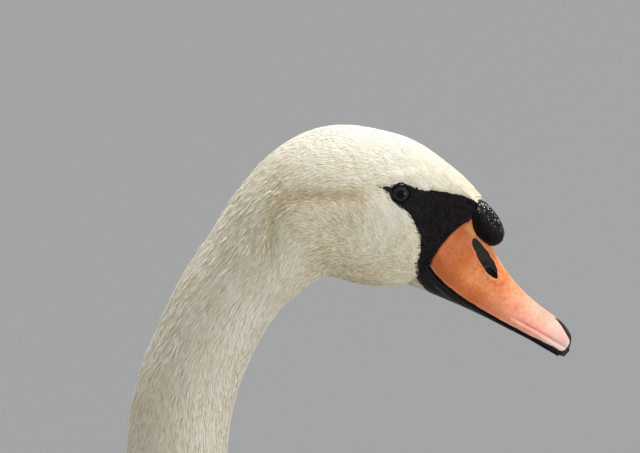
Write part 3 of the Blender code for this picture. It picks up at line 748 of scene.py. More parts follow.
def over_thigh(points):
    """Sideways distance as a smooth maximum: a mix of the body's and the thigh's, plus a small fillet."""
    x, y, z = points[..., 0], points[..., 1], points[..., 2]
    middle, half = (np.interp(z, THIGH[:, 0], THIGH[:, k]) for k in (1, 2))
    oval = 1 - ((x + middle) / (THIGH_DEPTH * half)) ** 2
    thigh = THIGH_OUT + half * np.sqrt(np.abs(oval)) * np.where(oval > 0, 1.0, -2.0)
    thigh = thigh - 0.10 * ease(0.026, 0.012, z) - 0.05 * ease(0.120, 0.150, z)
    share = np.clip(0.5 + 0.5 * (thigh - np.abs(y)) / THIGH_BLEND, 0, 1)
    wide = np.abs(y) * (1 - share) + thigh * share + THIGH_BLEND * share * (1 - share) * 0.8
    moved = points.copy()
    moved[..., 1] = np.where(np.abs(y) > 0.02, np.sign(y) * np.maximum(wide, np.abs(y)), y)
    return moved


# %% [markdown]
# ## The body's own sheet
# The plain ovals are made first, since the face's hollows and swellings are heights over them. The coat
# is thin on the face and deeper down the body, and thinnest where the mask is black.

# %% Sheet of the body
points = over_thigh(body_points(body_places, body_turns[None, :]))
plain = make_sheet(body_places, body_turns, points, np.zeros(points.shape[:2]), True)
points = lifted(plain["fields"], face_relief(points))
body_mask = mask_number(points)
coat_depth = np.broadcast_to(np.interp(body_places, COAT_PLACES, COAT_DEPTHS)[:, None], body_mask.shape)
masked = ease(-0.35, 0.10, body_mask)
coat_depth = coat_depth * (1 - masked) + MASK_DEPTH * masked
body_sheet = make_sheet(body_places, body_turns, points, coat_depth, True)
print("body sheet:", points.shape, "length", round(BODY_LENGTH, 3))

# %% [markdown]
# ## The folded wing's surface
# A folded wing covers the flank like half a roof. It is an arc at each distance along the body, wide in
# the middle and drawn in to a blunt end over the tail. Its sheet carries the wing's feathers, and the
# skin swells out under it so that they have something to lie on.

# %% Wing surface
WING = np.array((
    # x, half width of the roof, its top, its widest level, first and last degree round the roof
    (-0.060, 0.108, 0.262, 0.185, 74.0, 84.0),
    (-0.072, 0.116, 0.270, 0.178, 56.0, 93.0),
    (-0.098, 0.126, 0.279, 0.168, 33.0, 99.0),
    (-0.135, 0.136, 0.288, 0.158, 12.0, 104.0),
    (-0.185, 0.145, 0.295, 0.150, 0.8, 107.0),
    (-0.250, 0.152, 0.301, 0.145, 0.4, 108.0),
    (-0.320, 0.154, 0.305, 0.143, 0.4, 108.0),
    (-0.390, 0.148, 0.301, 0.145, 0.4, 105.0),
    (-0.450, 0.134, 0.290, 0.150, 0.5, 100.0),
    (-0.505, 0.112, 0.273, 0.158, 0.6, 94.0),
    (-0.550, 0.086, 0.254, 0.168, 0.8, 86.0),
    (-0.590, 0.063, 0.238, 0.175, 1.4, 77.0),
    (-0.612, 0.047, 0.228, 0.180, 2.4, 68.0),
))
WING_TUCK = 1.05
UNDER_WING = 0.009  # how far the skin lies under the roof
wing_path = natural_spline(np.arange(len(WING)), WING)
wing_places = np.linspace(0, len(WING) - 1, 160)
wing_behind = -wing_path(wing_places)[:, 0]  # distance behind the eye's level, which grows along the wing


def wing_row(behind):
    """The wing's section at a distance behind the level of the eye."""
    return wing_path(np.interp(behind, wing_behind, wing_places))


def wing_points(behind, share, side):
    """Arcs round the roof from its top to its lower edge, which tucks in towards the flank."""
    row = wing_row(behind)[:, None, :]
    angle = np.radians(row[..., 4] + (row[..., 5] - row[..., 4]) * share)
    tuck = 1 - WING_TUCK * np.minimum(0.0, np.cos(angle)) ** 2
    y = np.maximum(row[..., 1] * tuck * np.sin(angle), 0.0004)
    z = row[..., 3] + (row[..., 2] - row[..., 3]) * np.cos(angle)
    return xyz(row[..., 0], side * y, z)


def under_wing(points):
    """Skin pushed out along the roof's own rays to just under it, wherever a wing covers it."""
    row = wing_row(-points[..., 0])
    half, rise = row[..., 1], row[..., 2] - row[..., 3]
    across, up = np.abs(points[..., 1]) / half, (points[..., 2] - row[..., 3]) / rise
    angle, reach = np.degrees(np.arctan2(across, up)), np.hypot(across, up)
    cover = ease(0.075, 0.110, -points[..., 0]) * ease(0.600, 0.560, -points[..., 0])
    cover = cover * ease(-2.0, 6.0, angle - row[..., 4]) * ease(0.0, -14.0, angle - row[..., 5])
    growth = 1 + cover * np.maximum(0.0, (1 - UNDER_WING / half) / np.maximum(reach, 0.05) - 1)
    growth = np.where(points[..., 2] > row[..., 3] * 0.5, growth, 1.0)
    pushed = points.copy()
    pushed[..., 1] *= growth
    pushed[..., 2] = row[..., 3] + (points[..., 2] - row[..., 3]) * growth
    return pushed, cover


# %% [markdown]
# ## One skin
# The skin is one closed surface from the bill to the tail, so no seam shows where head, neck and trunk
# meet. It lies inside the solids by the depth of the coat. The wedge of feathered skin under the lower
# bill is a closed shape of the same piece.

# %% Skin
CHIN_LENGTH = 0.0300
CHIN_BEHIND = 0.0080  # how far it reaches back into the throat
CHIN_DEPTH = 0.0007
POLE_MASKS = (1.0, -1.0)  # the skin is black at its pole under the bill, and white at the tail's


def jaw_section(along, turn):
    """The lower jaw's flat top, how far down from it each place lies, and how far across.

    It is half an oval. Over the last 12 mm at its root, it narrows to the outline of the face.
    """
    row = bill_rows(np.maximum(along, 0.0))
    top = row[..., 2] - 0.0008
    down = np.maximum(top - row[..., 3], 0.0008) * np.clip(-np.cos(turn), 0, 1) ** 0.7
    across = (row[..., 4] - 0.0010) * np.abs(np.sin(turn)) ** 0.9
    spare = np.maximum(0.0, across - lore_width(top - down) - 0.0007)
    across = across - spare * (1 - ease(0.0, 0.012, along)) * (np.cos(turn) < 0)
    return top, down, across * np.sign(np.sin(turn))


def chin_points(places, turns):
    """The lower jaw's own section, a little smaller. It starts in the throat and narrows to a point ahead."""
    along = -CHIN_BEHIND + places[:, None] + 0 * turns
    top, down, across = jaw_section(along, turns)
    slim = 1 - 0.14 * ease(0.001, -CHIN_BEHIND, along)
    point = np.sqrt(np.clip(1 - ease(0.55, 1.02, places / CHIN_LENGTH)[:, None] ** 2, 0, 1))
    across = np.sign(across) * np.maximum(np.abs(across) - 0.0006, 0.0) * slim * point
    return from_bill(along, across, top - 0.0006 - np.maximum(down - 0.0007, 0.0) * slim)


def shared_tint(points):
    """How white the plumage is: whiter on forehead, neck and the front of the cheek, with a pale ring under
    the eye.

    Painted light lies in it too: the top of the crown is lighter, as painted highlight, and the hollow behind
    the eye, the groove behind the cheek and the jaw line are darker, as painted shade.
    """
    x, z = points[..., 0], points[..., 2]
    head = ease(0.42, 0.62, z)
    tint = 0.62 + 0.10 * drift(points, 0.035, 11) - head * 0.04
    tint += 0.40 * ease(0.745, 0.670, z + 1.6 * np.maximum(x + 0.075, 0.0)) * ease(0.36, 0.52, z)  # neck
    # painted shade: darker along the jaw line and on the throat just below it
    tint -= 0.12 * head * hill(x, z, (-0.030, 0.648), (0.045, 0.012))  # throat
    # The forehead is whiter in its own colour. The top of the crown is lighter still, as painted highlight
    # where the light from above falls on it.
    tint += 0.55 * head * hill(x, z, (0.015, 0.712), (0.050, 0.016)) + 0.62 * head * ease(0.712, 0.731, z)
    tint += 0.62 * hill(x, z, (-0.002, 0.682), (0.015, 0.018))  # front of the cheek
    # painted shade in the hollow behind the eye
    tint -= 0.62 * head * hill(x, z, (-0.022, 0.698), (0.013, 0.006))  # behind the eye
    under_eye = ease(0.004, -0.004, z - EYE[2]) * ease(0.008, 0.0, x)
    tint += 0.55 * bump(np.hypot(x - EYE[0], z - EYE[2]), 0.0098, 0.0018) * under_eye
    face = z > 0.640
    # painted shade in the groove that runs back from the eye and down behind the cheek
    tint[face] -= 0.60 * cheek_groove(x[face], z[face], 0.0055)
    return tint


skin_grid, wing_cover = under_wing(sunk(body_sheet["fields"]))
chin_places = np.linspace(0, CHIN_LENGTH * 0.995, 40)
chin_turns = full_turn(60)
chin_outer = chin_points(chin_places, chin_turns[None, :])
chin_sheet = make_sheet(chin_places, chin_turns, chin_outer, np.full(chin_outer.shape[:2], CHIN_DEPTH), True)
chin_sheet["fields"][..., NORMAL] *= -1  # this sheet runs forwards, so its normals start out turned inwards
skin_points, skin_faces = together([capped(grid) for grid in (skin_grid, sunk(chin_sheet["fields"]))])
on_chin = mask_number(skin_points[body_mask.size + len(POLE_MASKS):])
skin_mask = np.concatenate([body_mask.ravel(), POLE_MASKS, on_chin])
# The skin's tint is 0.15 lower than that of the tufts over it: painted shade deep in the coat.
skin = make_piece(
    "skin", skin_points, skin_faces, "down_white", "white_plumage",
    {"mask": skin_mask, "tint": shared_tint(skin_points) - 0.15},
)
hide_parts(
    "head", "neck_upper", "neck_middle", "neck_lower", "trunk", "wing_left", "wing_right", "thigh_left",
    "thigh_right",
)

# %% [markdown]
# ## Eyes and lids
# The eyeball is a sphere with a bulging cornea over the iris. It sits deep: only the part inside the lids
# shows. Each lid ring is a closed, rolled band of bare black skin. Its inner edge follows the ball, and
# its outer edge sinks into the feathered skin.

# %% Eyes
EYE_RADIUS = 0.0074
EYE_AXIS = unit(np.array((0.07, 1.0, 0.10)))
CORNEA = 0.0005  # how far the cornea bulges over the ball
EYE_SINK = 0.0002  # how much smaller the rest of the ball is than its solid


def eye_directions(side):
    """The eye's axis, its forward direction and its upward one."""
    axis = EYE_AXIS * (1, side, 1)
    ahead = unit(np.array((1.0, 0, 0)) - axis * axis[0])
    up = np.cross(ahead, axis) * -side
    return axis, ahead, up * np.sign(up[2])


def eyeball_points(side):
    """A sphere whose radius grows by the cornea's bulge within about 40 degrees of the axis."""
    axis, ahead, up = eye_directions(side)
    polar = np.linspace(0, math.pi, 50)[1:-1, None]
    turn = full_turn(72)[None, :]
    radius = EYE_RADIUS - EYE_SINK + CORNEA * (1 - ease(0.25, 0.75, polar))
    ring = np.cos(turn)[..., None] * ahead + np.sin(turn)[..., None] * up
    way = np.cos(polar)[..., None] * axis + np.sin(polar)[..., None] * ring
    return EYE * (1, side, 1) + radius[..., None] * way


LID_OPENING = (0.00530, 0.00452)  # half the length and half the height of the opening
LID_CORNERS = ((0.0010, -0.12), (0.0008, math.pi + 0.05))  # how far the corners reach, and at which angles
LID_WIDTH = 0.0026
LID_SINK = 0.0008  # how deep its outer edge lies in the skin
LID_COLUMNS = 28
# The body's grid on either side of the bird, without the columns next to back and belly.
SIDE_COLUMNS = {1: slice(6, 110), -1: slice(130, 234)}


def skin_level(side, x, z):
    """How far from the middle the skin lies at a place in side view, from the nearest points of its grid."""
    near = skin_grid[:HEAD_ROWS, SIDE_COLUMNS[side]].reshape(-1, 3)
    near = near[np.hypot(near[:, 0] - EYE[0], near[:, 2] - EYE[2]) < 0.016]
    gap = (near[:, 0] - x[..., None]) ** 2 + (near[:, 2] - z[..., None]) ** 2
    weight = 1 / (gap + 0.0006**2) ** 2
    return (weight * np.abs(near[:, 1])).sum(-1) / weight.sum(-1)


def lid_points(side):
    """A rolled band round the opening: over it from the ball's surface to the skin, then back underneath."""
    axis, ahead, up = eye_directions(side)
    around = full_turn(128)[:, None]
    reach = np.hypot(LID_OPENING[0] * np.cos(around), LID_OPENING[1] * np.sin(around))
    for height, place in LID_CORNERS:
        reach = reach + height * bump(np.angle(np.exp(1j * (around - place))), 0.0, 0.22)
    over = np.linspace(0, 1, LID_COLUMNS // 2)
    share = np.concatenate([over, over[::-1]])[None, :]
    under = np.repeat((0.0, 1.0), LID_COLUMNS // 2)[None, :]
    reach = reach + LID_WIDTH * (1 - 0.48 * np.clip(np.sin(around), 0, 1)) * share
    ring = np.cos(around)[..., None] * ahead + np.sin(around)[..., None] * up
    flat = EYE * (1, side, 1) + reach[..., None] * ring
    ball = np.sqrt(np.maximum(EYE_RADIUS**2 - np.minimum(reach, 0.0070) ** 2, 0)) + 0.00012
    skin_height = skin_level(side, flat[..., 0], flat[..., 2]) - EYE[1] - LID_SINK
    outer = ease(0.25, 1.0, share)
    height = ball * (1 - outer) + skin_height * outer
    height = height + 0.00042 * bump(share, 0.16, 0.14) + 0.00022 * bump(share, 0.62, 0.12)
    height = height + 0.00008 * np.sin(around * 34 + 5 * np.sin(around * 3)) * np.sin(math.pi * share)
    height = height - under * (0.0002 + 0.0011 * np.sin(math.pi * np.clip(share, 0.04, 1)))
    return flat + height[..., None] * axis


for side, suffix in SIDES:
    ball, ball_faces = capped(eyeball_points(side))
    angle = np.arccos(np.clip(unit(ball - EYE * (1, side, 1)) @ eye_directions(side)[0], -1, 1))
    eye = make_piece("eyeball" + suffix, ball, ball_faces, "eye_dark", "dark_eye", {"angle": angle})
    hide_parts("eye" + suffix)
    band = lid_points(side)
    faces = [grid_faces(*band.shape[:2], True, True)]
    make_piece("lid" + suffix, band.reshape(-1, 3), faces, "skin_black", "black_skin")

# %% [markdown]
# ## The bill
# The upper bill is a horny sheath with a rounded ridge. Its rear edge bulges back into the mask, and it
# lies a little proud of the skin. It is one grid: along the bill and round its section. The nostril is a
# slot pressed into it, in a black leaf-shaped patch. Signed distances in the bill's own directions say
# where it is black.

# %% Shape of the bill
SHEATH_HEIGHT = np.array((-0.002, 0.0, 0.005, 0.013, 0.022, 0.030, 0.0357, 0.040))
SHEATH_START = np.array((0.0005, 0.0, -0.0022, -0.0033, -0.0033, -0.0020, -0.0007, 0.0010))
SHEATH_PROUD = 0.0004
NOSTRIL = (0.0304, 0.0199)
NOSTRIL_RADII = (0.0042, 0.0015)
NOSTRIL_DEPTH = 0.0024
CREASE_HEIGHT = 0.0052  # how far over the cutting edge a crease runs along the front of the sheath


def upper_section(along, turn):
    """Height and half width of the upper bill: flat below, with a rounded ridge above."""
    row = bill_rows(along)
    cos, sin = np.cos(turn), np.sin(turn)
    slim = 1 - 0.42 * np.clip(cos, 0, 1) * np.maximum(0.0, 1 - along / 0.055)
    across = row[..., 4] * np.sign(sin) * np.abs(sin) ** 0.85 * slim
    above = (row[..., 1] - row[..., 2]) * np.clip(cos, 0, 1) ** 1.15
    return across, row[..., 2] + above - 0.0004 * np.clip(-cos, 0, 1)


def bill_side_relief(along, up):
    """Height over the plain section: the nostril's slot and its rim, and the folds before it."""
    slant = (up - NOSTRIL[1]) + 0.10 * (along - NOSTRIL[0])
    slot = np.hypot((along - NOSTRIL[0]) / NOSTRIL_RADII[0], slant / NOSTRIL_RADII[1])
    height = -NOSTRIL_DEPTH * np.clip(1 - slot**2, 0, 1) ** 0.6
    height += 0.00055 * bump(slot, 1.45, 0.35)
    fold = along - (0.0375 + 0.35 * (up - 0.0185))
    height += 0.0004 * bump(fold, 0.0, 0.0016) * bump(up, 0.0180, 0.006)
    return height - 0.0005 * bump(fold, 0.0028, 0.0014) * bump(up, 0.0170, 0.006)


def upper_bill(share, turn):
    """The sheath from its bulging rear edge to the tip, widened at the root to lie on the face."""
    root_up = upper_section(np.zeros_like(share * turn), turn)[1]
    start = np.interp(root_up, SHEATH_HEIGHT, SHEATH_START)
    along = start + (BILL_LENGTH - start) * share
    across, up = upper_section(np.maximum(along, 0.0), turn)
    beside = np.abs(np.sin(turn))
    wide = lore_width(up) + SHEATH_PROUD + np.maximum(0.0, -along) * 0.14
    at_root = (1 - ease(0.0, 0.011, along)) * (np.cos(turn) > -0.05) * ease(-0.0015, 0.0005, up)
    widened = np.maximum(0.0, wide - np.abs(across)) * at_root * ease(0, 0.12, beside)
    over_edge = up - bill_rows(np.maximum(along, 0.0))[..., 2]
    lip = 0.0006 * bump(over_edge, 0.0034, 0.0011) * ease(0.050, 0.064, along)
    lip = lip - 0.0005 * bump(over_edge, CREASE_HEIGHT, 0.0006) * ease(0.054, 0.064, along)
    turned_in = 0.0009 * (1 - ease(0.0, 0.012, share))
    inward = bill_side_relief(along, up) * ease(0.25, 0.6, beside) * (np.cos(turn) > -0.02)
    across = across + np.sign(across) * (widened + inward + lip * (np.cos(turn) > 0) - turned_in)
    return along, across, up


bill_shares = np.linspace(0, 1, 230)[:, None] ** 1.05
bill_turns = full_turn(150)[None, :]
along, across, up = upper_bill(bill_shares, bill_turns)

# %% [markdown]
# The black patch runs from under the knob down to the nostril and past it. It is shaped like a leaf with
# a blunt start. Near the tip the black of the nail runs back along the cutting edge as a rim.

# %% Colours of the bill
PATCH_START, PATCH_END = np.array((0.0100, 0.0274)), np.array((0.0352, 0.0196))
PATCH_HALF, PATCH_WIDEST = 0.0034, 0.60
PATCH_BLUNT = 0.12  # how far past its start the leaf would run if it weren't cut off there
BLACK_FADE = 0.0012
PINK_END, PINK_CORNER = BILL_LENGTH - 0.0028, 0.0042  # where the pink ends at the tip, and its round corner


def patch_distance(along, up):
    """How far inside the leaf-shaped patch a place lies.

    Its half width goes with 1 - t * t to the power 0.62. t is the share of the way from its widest place to
    where it would end.
    """
    way = PATCH_END - PATCH_START
    length = np.linalg.norm(way)
    ahead, aside = along - PATCH_START[0], up - PATCH_START[1]
    share = (ahead * way[0] + aside * way[1]) / length**2
    off = np.abs(ahead * way[1] - aside * way[0]) / length
    reach = np.where(share < PATCH_WIDEST, PATCH_WIDEST + PATCH_BLUNT, 1 - PATCH_WIDEST)
    half = PATCH_HALF * np.clip(1 - ((share - PATCH_WIDEST) / reach) ** 2, 0, 1) ** 0.62
    beyond = np.maximum(np.maximum(-share, share - 1), 0.0) * length
    return half - np.hypot(off, beyond) - 0.0001


def bill_numbers(along, across, up):
    """What the bill's finish reads: the distance along it, and how black, ridged, stained and so on it is."""
    over_edge = up - bill_rows(np.clip(along, 0, BILL_LENGTH))[..., 2]
    rim = 0.0007 + 0.0016 * ease(0.066, 0.088, along)
    black = np.maximum(patch_distance(along, up), rim - over_edge)
    ahead = np.maximum(along - PINK_END + PINK_CORNER, 0.0)
    below = np.maximum(rim + PINK_CORNER - over_edge, 0.0)
    black = np.maximum(black, np.where(ahead > 0, np.hypot(ahead, below) - PINK_CORNER, black))
    black = black + 0.00018 * drift(from_bill(along, across, up), 0.005, 21)
    stain = hill(along, up, (0.006, 0.0315), (0.007, 0.0035))
    # painted shade at the root under the knob and low on the sides over the cutting edge
    deep = 0.60 * ease(0.024, 0.002, along) + 0.62 * ease(0.012, 0.003, over_edge) * ease(0.062, 0.036, along)
    near_tip = ease(0.054, 0.064, along) * ease(0.089, 0.084, along)
    numbers = {
        "along": along,
        "black": np.clip(black / BLACK_FADE, -1, 1),
        "cream": bump(black, -0.0012, 0.0010) * ease(0.060, 0.082, along),
        # painted shade in the crease that runs along the front of the sheath
        "painted_crease_shade": bump(over_edge, CREASE_HEIGHT, 0.0005) * near_tip,
        "deep": deep,
        # painted highlight along the top of the ridge near the root
        "ridge": (1 - ease(0.0015, 0.0060, np.abs(across))) * ease(0.044, 0.028, along),
        "specks": ease(0.060, 0.074, along) * ease(0.0, 0.004, over_edge),
        "stain": stain + 0.5 * hill(along, up, (0.024, 0.014), (0.012, 0.006)),
    }
    return {key: np.append(value, value.ravel()[[0, -1]]) for key, value in numbers.items()}


points, faces = capped(from_bill(along, across, up))
numbers = bill_numbers(along, across, up)
upper = make_piece("upper_bill", points, faces, "bill_orange", "orange_horn", numbers)
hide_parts("bill_upper")

# %% [markdown]
# The nail is a hard black plate on the tip, which the swan uses for grasping. It is a lens laid over the
# sheath: it follows the same sections, a millimetre higher, and sinks into them round its edge. The lower
# bill is a shallow tray whose sides carry fine plates.

# %% Nail and lower bill
NAIL_START, NAIL_HALF = 0.0775, 0.0050


def nail_points(share, across_share):
    """The sheath's own upper surface within an oval outline, raised by a lens, with a flat underside."""
    along = NAIL_START + (BILL_LENGTH + 0.0006 - NAIL_START) * share
    half = NAIL_HALF * np.clip(1 - ((share - 0.62) / 0.64) ** 2, 0, 1) ** 0.85
    row = bill_rows(np.clip(along, 0, BILL_LENGTH))
    limit = row[..., 4]
    across = np.minimum(half, limit * 0.97) * across_share
    level = np.clip(1 - (np.abs(across) / limit) ** (2 / 0.85), 0, 1) ** (1.15 / 2)
    up = row[..., 2] + (row[..., 1] - row[..., 2]) * level
    return along, across, up


nail_share = np.linspace(0.0, 1.0, 60)[:, None]
nail_across = np.linspace(-1, 1, 41)[None, :]
along, across, up = nail_points(nail_share, nail_across)
lens = 0.0009 * np.sqrt(np.clip(1 - nail_across**2, 0, 1)) * ease(0, 0.45, nail_share) ** 0.7
top = from_bill(along + 0.35 * lens * ease(0.8, 1.0, nail_share), across, up + lens)
bottom = from_bill(along, across * 0.98, up - 0.0012)
points, faces = capped(np.concatenate([top, bottom[:, ::-1]], axis=1))
nail = make_piece("nail", points, faces, "horn_black", "black_horn")
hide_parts("bill_nail")

HORN_DEPTH = 0.0100  # how deep the horny side of the lower bill is at its root
HORN_START, HORN_END = -0.0040, BILL_LENGTH - 0.0035


def lower_bill(along, turn):
    """The lower jaw's section, cut off flat below at the root, where only its sides are horn.

    A groove runs along each side under the cutting edge, with fine plates below it.
    """
    top, full, across = jaw_section(along, turn)
    down = np.minimum(full, HORN_DEPTH) * (1 - 0.25 * ease(0.0, HORN_START, along))
    across = across * (1 - 0.16 * ease(0.0005, HORN_START, along))
    groove = 0.00060 * bump(down, 0.0026, 0.0007) * ease(0.090, 0.070, along)
    plates = 0.00012 * np.sin(TAU * down / 0.0013) * ease(0.0030, 0.0045, down)
    return along + 0 * turn, across - np.sign(across) * (groove - plates) * (np.cos(turn) < 0), top - down


along = np.linspace(HORN_START, HORN_END, 124)[:, None]
turns = full_turn(110)[None, :]
lower_grid = from_bill(*lower_bill(along, turns))
points, faces = capped(lower_grid)
# painted highlight: a thin grey stripe along each side of the lower bill, for the sheen of its horn there
painted_highlight = 0.8 * hill(along, jaw_section(along, turns)[1], (0.026, 0.0040), (0.034, 0.0006))
painted_highlight = np.append(painted_highlight * (np.abs(lower_grid[..., 1]) > 0.004), (0, 0))
lower = make_piece("lower_bill", points, faces, "horn_black", "black_horn", {"painted_highlight": painted_highlight})
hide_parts("bill_lower")

# %% [markdown]
# The knob is a fleshy lobe on the root of the ridge, larger in males. It is an oval of revolution that is
# wider below than above. Small warts cover it, and on its front, which faces the light, their tips carry pale
# painted glints.

# %% Knob
def knob_points():
    """Rings along the line from top to foot, with a radius of sine to the power 0.8, and warts on them."""
    turn = (np.linspace(0.012, 0.988, 110) * math.pi)[:, None]
    angle = full_turn(150)[None, :]
    way = KNOB_FOOT - KNOB_TOP
    length = np.linalg.norm(way)
    way = way / length
    place = -np.cos(turn)
    reach = (length + sum(KNOB_RADII)) / 2
    radius = (KNOB_RADII[0] + (KNOB_RADII[1] - KNOB_RADII[0]) * (place + 1) / 2) * np.sin(turn) ** 0.8
    middle = (KNOB_TOP + KNOB_FOOT) / 2
    x = middle[0] + way[0] * place * reach - way[1] * radius * np.cos(angle)
    z = middle[1] + way[1] * place * reach + way[0] * radius * np.cos(angle)
    points = xyz(x, KNOB_WIDTH * radius * np.sin(angle), z)
    outward = unit(points - np.array((middle[0], 0, middle[1])))
    warts = 0.00010 * drift(points, 0.0016, 31) + 0.00016 * drift(points, 0.0040, 32)
    return points + outward * (warts - 0.0002)[..., None]


points, faces = capped(knob_points())
# painted highlight: glints on the warts' tips, on the side that faces forwards and up, towards the light
facing = unit(points - (KNOB_TOP[0], 0.0, KNOB_TOP[1])) @ unit(np.array((0.80, 0.0, 0.60)))
painted_highlight = ease(0.10, 0.80, facing) * ease(-0.9, 0.3, drift(points, 0.004, 33))
knob = make_piece("knob_skin", points, faces, "skin_black", "black_skin", {"painted_highlight": painted_highlight})
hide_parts("knob")

# %% [markdown]
# ## Tufts
# Up close, the plumage of head and neck is not scales but soft tips that lie back over one another. Each
# tuft here is a thin closed spindle of six triangles: a root in the skin, three points round its middle
# and a tip at the coat's surface. They are small on the face and longer down the neck. Noise gathers them
# into clumps and ruffles them at the nape.

# %% Growing tufts
def scatter(sheet, weight, count, dice):
    """Places and turns of count roots, spread evenly over the sheet by area times weight."""
    fields, places, turns = sheet["fields"], sheet["places"], sheet["turns"]
    turn_step = turns[1] - turns[0]
    area = (fields[..., STEP_ALONG] * fields[..., STEP_AROUND] * weight)[:-1]
    area = (area * np.diff(places)[:, None] * turn_step)[:, : None if sheet["closed"] else -1]
    total = np.cumsum(area.ravel())
    cell = np.searchsorted(total, (np.arange(count) + dice.random(count)) / count * total[-1])
    row, column = np.divmod(np.minimum(cell, area.size - 1), area.shape[1])
    place = places[row] + dice.random(count) * np.diff(places)[row]
    return place, turns[column] + dice.random(count) * turn_step


PATCH_SIZE = 0.003  # how much of the bake's map, from side to side, each tuft or vane gets


def patch_map(sheet, place, turn, flat):
    """Flat coordinates for the bake: the root's place on the sheet's own unwrap, plus a small patch there."""
    places, turns = sheet["places"], sheet["turns"]
    along = np.clip((place - places[0]) / (places[-1] - places[0]), 0, 1)
    around = (turn - turns[0]) / (TAU if sheet["closed"] else turns[-1] - turns[0])
    root = np.stack([along, around % 1.0 if sheet["closed"] else around], axis=-1)
    return (0.01 + 0.98 * root)[:, None, :] + PATCH_SIZE * (flat - 0.5)


DOWN = ("down_white", "white_plumage")  # finish and slot
VANE = ("vane_white", "white_plumage")
TUFT_MIDDLE = 0.42  # share of its length at which a tuft is widest
TUFT_FACES = np.array(((0, 3, 1), (0, 2, 3), (0, 1, 2), (4, 1, 3), (4, 3, 2), (4, 2, 1)))
TUFT_FLAT = np.array(((0.5, 0.0), (0.0, 0.4), (1.0, 0.4), (0.5, 0.4), (0.5, 1.0)))


def tufts(sheet, place, turn, length, width, yaw, lift, keel):
    """Spindles along the flow: root under the skin, a wide middle, and a tip lifted to the coat's surface."""
    root = read_sheet(sheet, place, turn)
    step_place = np.cos(yaw) * length / root[:, STEP_ALONG]
    step_turn = np.sin(yaw) * length / root[:, STEP_AROUND]
    middle = read_sheet(sheet, place + TUFT_MIDDLE * step_place, turn + TUFT_MIDDLE * step_turn)
    tip = read_sheet(sheet, place + step_place, turn + step_turn)
    start, centre, end = sunk(root), sunk(middle, 1 - 0.62 * lift), sunk(tip, 1 - lift)
    across = unit(np.cross(middle[:, NORMAL], end - start)) * width[:, None] / 2
    ridge = centre + middle[:, NORMAL] * width[:, None] * keel
    return np.stack([start, centre + across, centre - across, ridge, end], axis=1)


def neck_middle(z):
    """How far forward the neck's line lies at a height, from the sections between breast and nape."""
    back_x, back_z, front_x, front_z = SECTIONS[16:5:-1, :4].T
    return np.interp(z, (back_z + front_z) / 2, (back_x * 2 + front_x) / 3)


def ruffled(root):
    """How much the plumage stands out: much at the nape and down the back of the neck, little elsewhere."""
    behind = ease(-0.006, 0.010, neck_middle(root[:, 2]) - root[:, 0])
    return 0.10 + 0.90 * behind * ease(0.560, 0.620, root[:, 2]) * ease(0.728, 0.705, root[:, 2])


def make_tufts(name, sheet, weight, count, seed, sizes, flow, rough=1.0, marked=False, black=False):
    """A piece of coat: count tufts with their sizes and lie by place. rough is how uneven they lie."""
    dice = np.random.default_rng(seed)
    place, turn = scatter(sheet, weight, count, dice)
    root = read_sheet(sheet, place, turn)[:, POINT]
    mask = mask_number(root) + 0.11 * dice.normal(0, 1, count) if marked else np.full(count, -1.0)
    length, width = sizes(mask, place)
    clump, finer = drift(root, 0.010, seed + 1), drift(root, 0.004, seed + 2)
    yaw = flow(root) + 0.15 * clump + 0.07 * finer + dice.normal(0, 0.07, count)
    lift = 0.95 + rough * (0.04 * clump + 0.03 * finer + dice.normal(0, 0.06, count))
    ruffle = ruffled(root)
    stray = 0.62 * (dice.random(count) > 0.988) * ease(0.30, 0.90, ruffle)
    lift = lift + 0.24 * ruffle * ease(-0.20, 1.10, drift(root, 0.006, seed + 3)) + stray
    length = length * dice.uniform(0.78, 1.18, count)
    width = width * dice.uniform(0.8, 1.2, count)
    points = tufts(sheet, place, turn, length, width, yaw, np.clip(lift, 0.6, 2.3), 0.05 + 0.12 * rough)
    uneven = rough * (1 - 0.65 * ease(0.704, 0.724, root[:, 2]))  # the crown is the smoothest
    tint = shared_tint(root) + uneven * (dice.normal(0, 0.34, count) + 0.16 * finer)
    corners = len(TUFT_FLAT)
    faces = (np.arange(count)[:, None, None] * corners + TUFT_FACES).reshape(-1, 3)
    return make_piece(
        name, points.reshape(-1, 3), [faces], *(("down_black", "black_skin") if black else DOWN),
        {"mask": np.repeat(mask, corners), "tint": np.repeat(tint, corners)},
        {"OFBake": patch_map(sheet, place, turn, TUFT_FLAT).reshape(-1, 2)}, smooth=False,
    )


# %% [markdown]
# On the head the feathers lie back from the bill. Over the cheek they turn up and back round a shallow
# whorl behind the eye, and below it they turn down into the throat. The turn of the flow is a sum of soft
# hills.

# %% Coat of the head and the mask
def head_flow(root):
    """How far the feathers turn from the body's own direction, in radians, towards growing turn."""
    x, z = root[:, 0], root[:, 2]
    rising = 0.75 * hill(x, z, (-0.042, 0.684), (0.021, 0.013))
    rising = rising + 0.45 * hill(x, z, (-0.014, 0.679), (0.014, 0.016))
    falling = 0.40 * hill(x, z, (-0.070, 0.672), (0.011, 0.018))
    return np.sign(root[:, 1]) * (falling - rising)


def head_sizes(mask, place):
    """Length and width of a tuft: small before the eye and on the mask, longer towards the nape."""
    back = ease(0.000, HEAD_END, place)
    black = mask > 0.0
    return np.where(black, 0.0016, 0.0046 + 0.0046 * back), np.where(black, 0.00075, 0.00070 + 0.00018 * back)


def mask_sizes(mask, place):
    """The mask's feathers are short everywhere."""
    return 0.0016, 0.00080


OVERLAP = 0.003  # how far neighbouring pieces of coat run into each other
place_grid = body_places[:, None] + 0 * body_turns


def stretch(start, end):
    """1 on the body's sheet between two places along it, and a little past them, and 0 elsewhere."""
    return (place_grid > start - OVERLAP) & (place_grid <= end + OVERLAP)


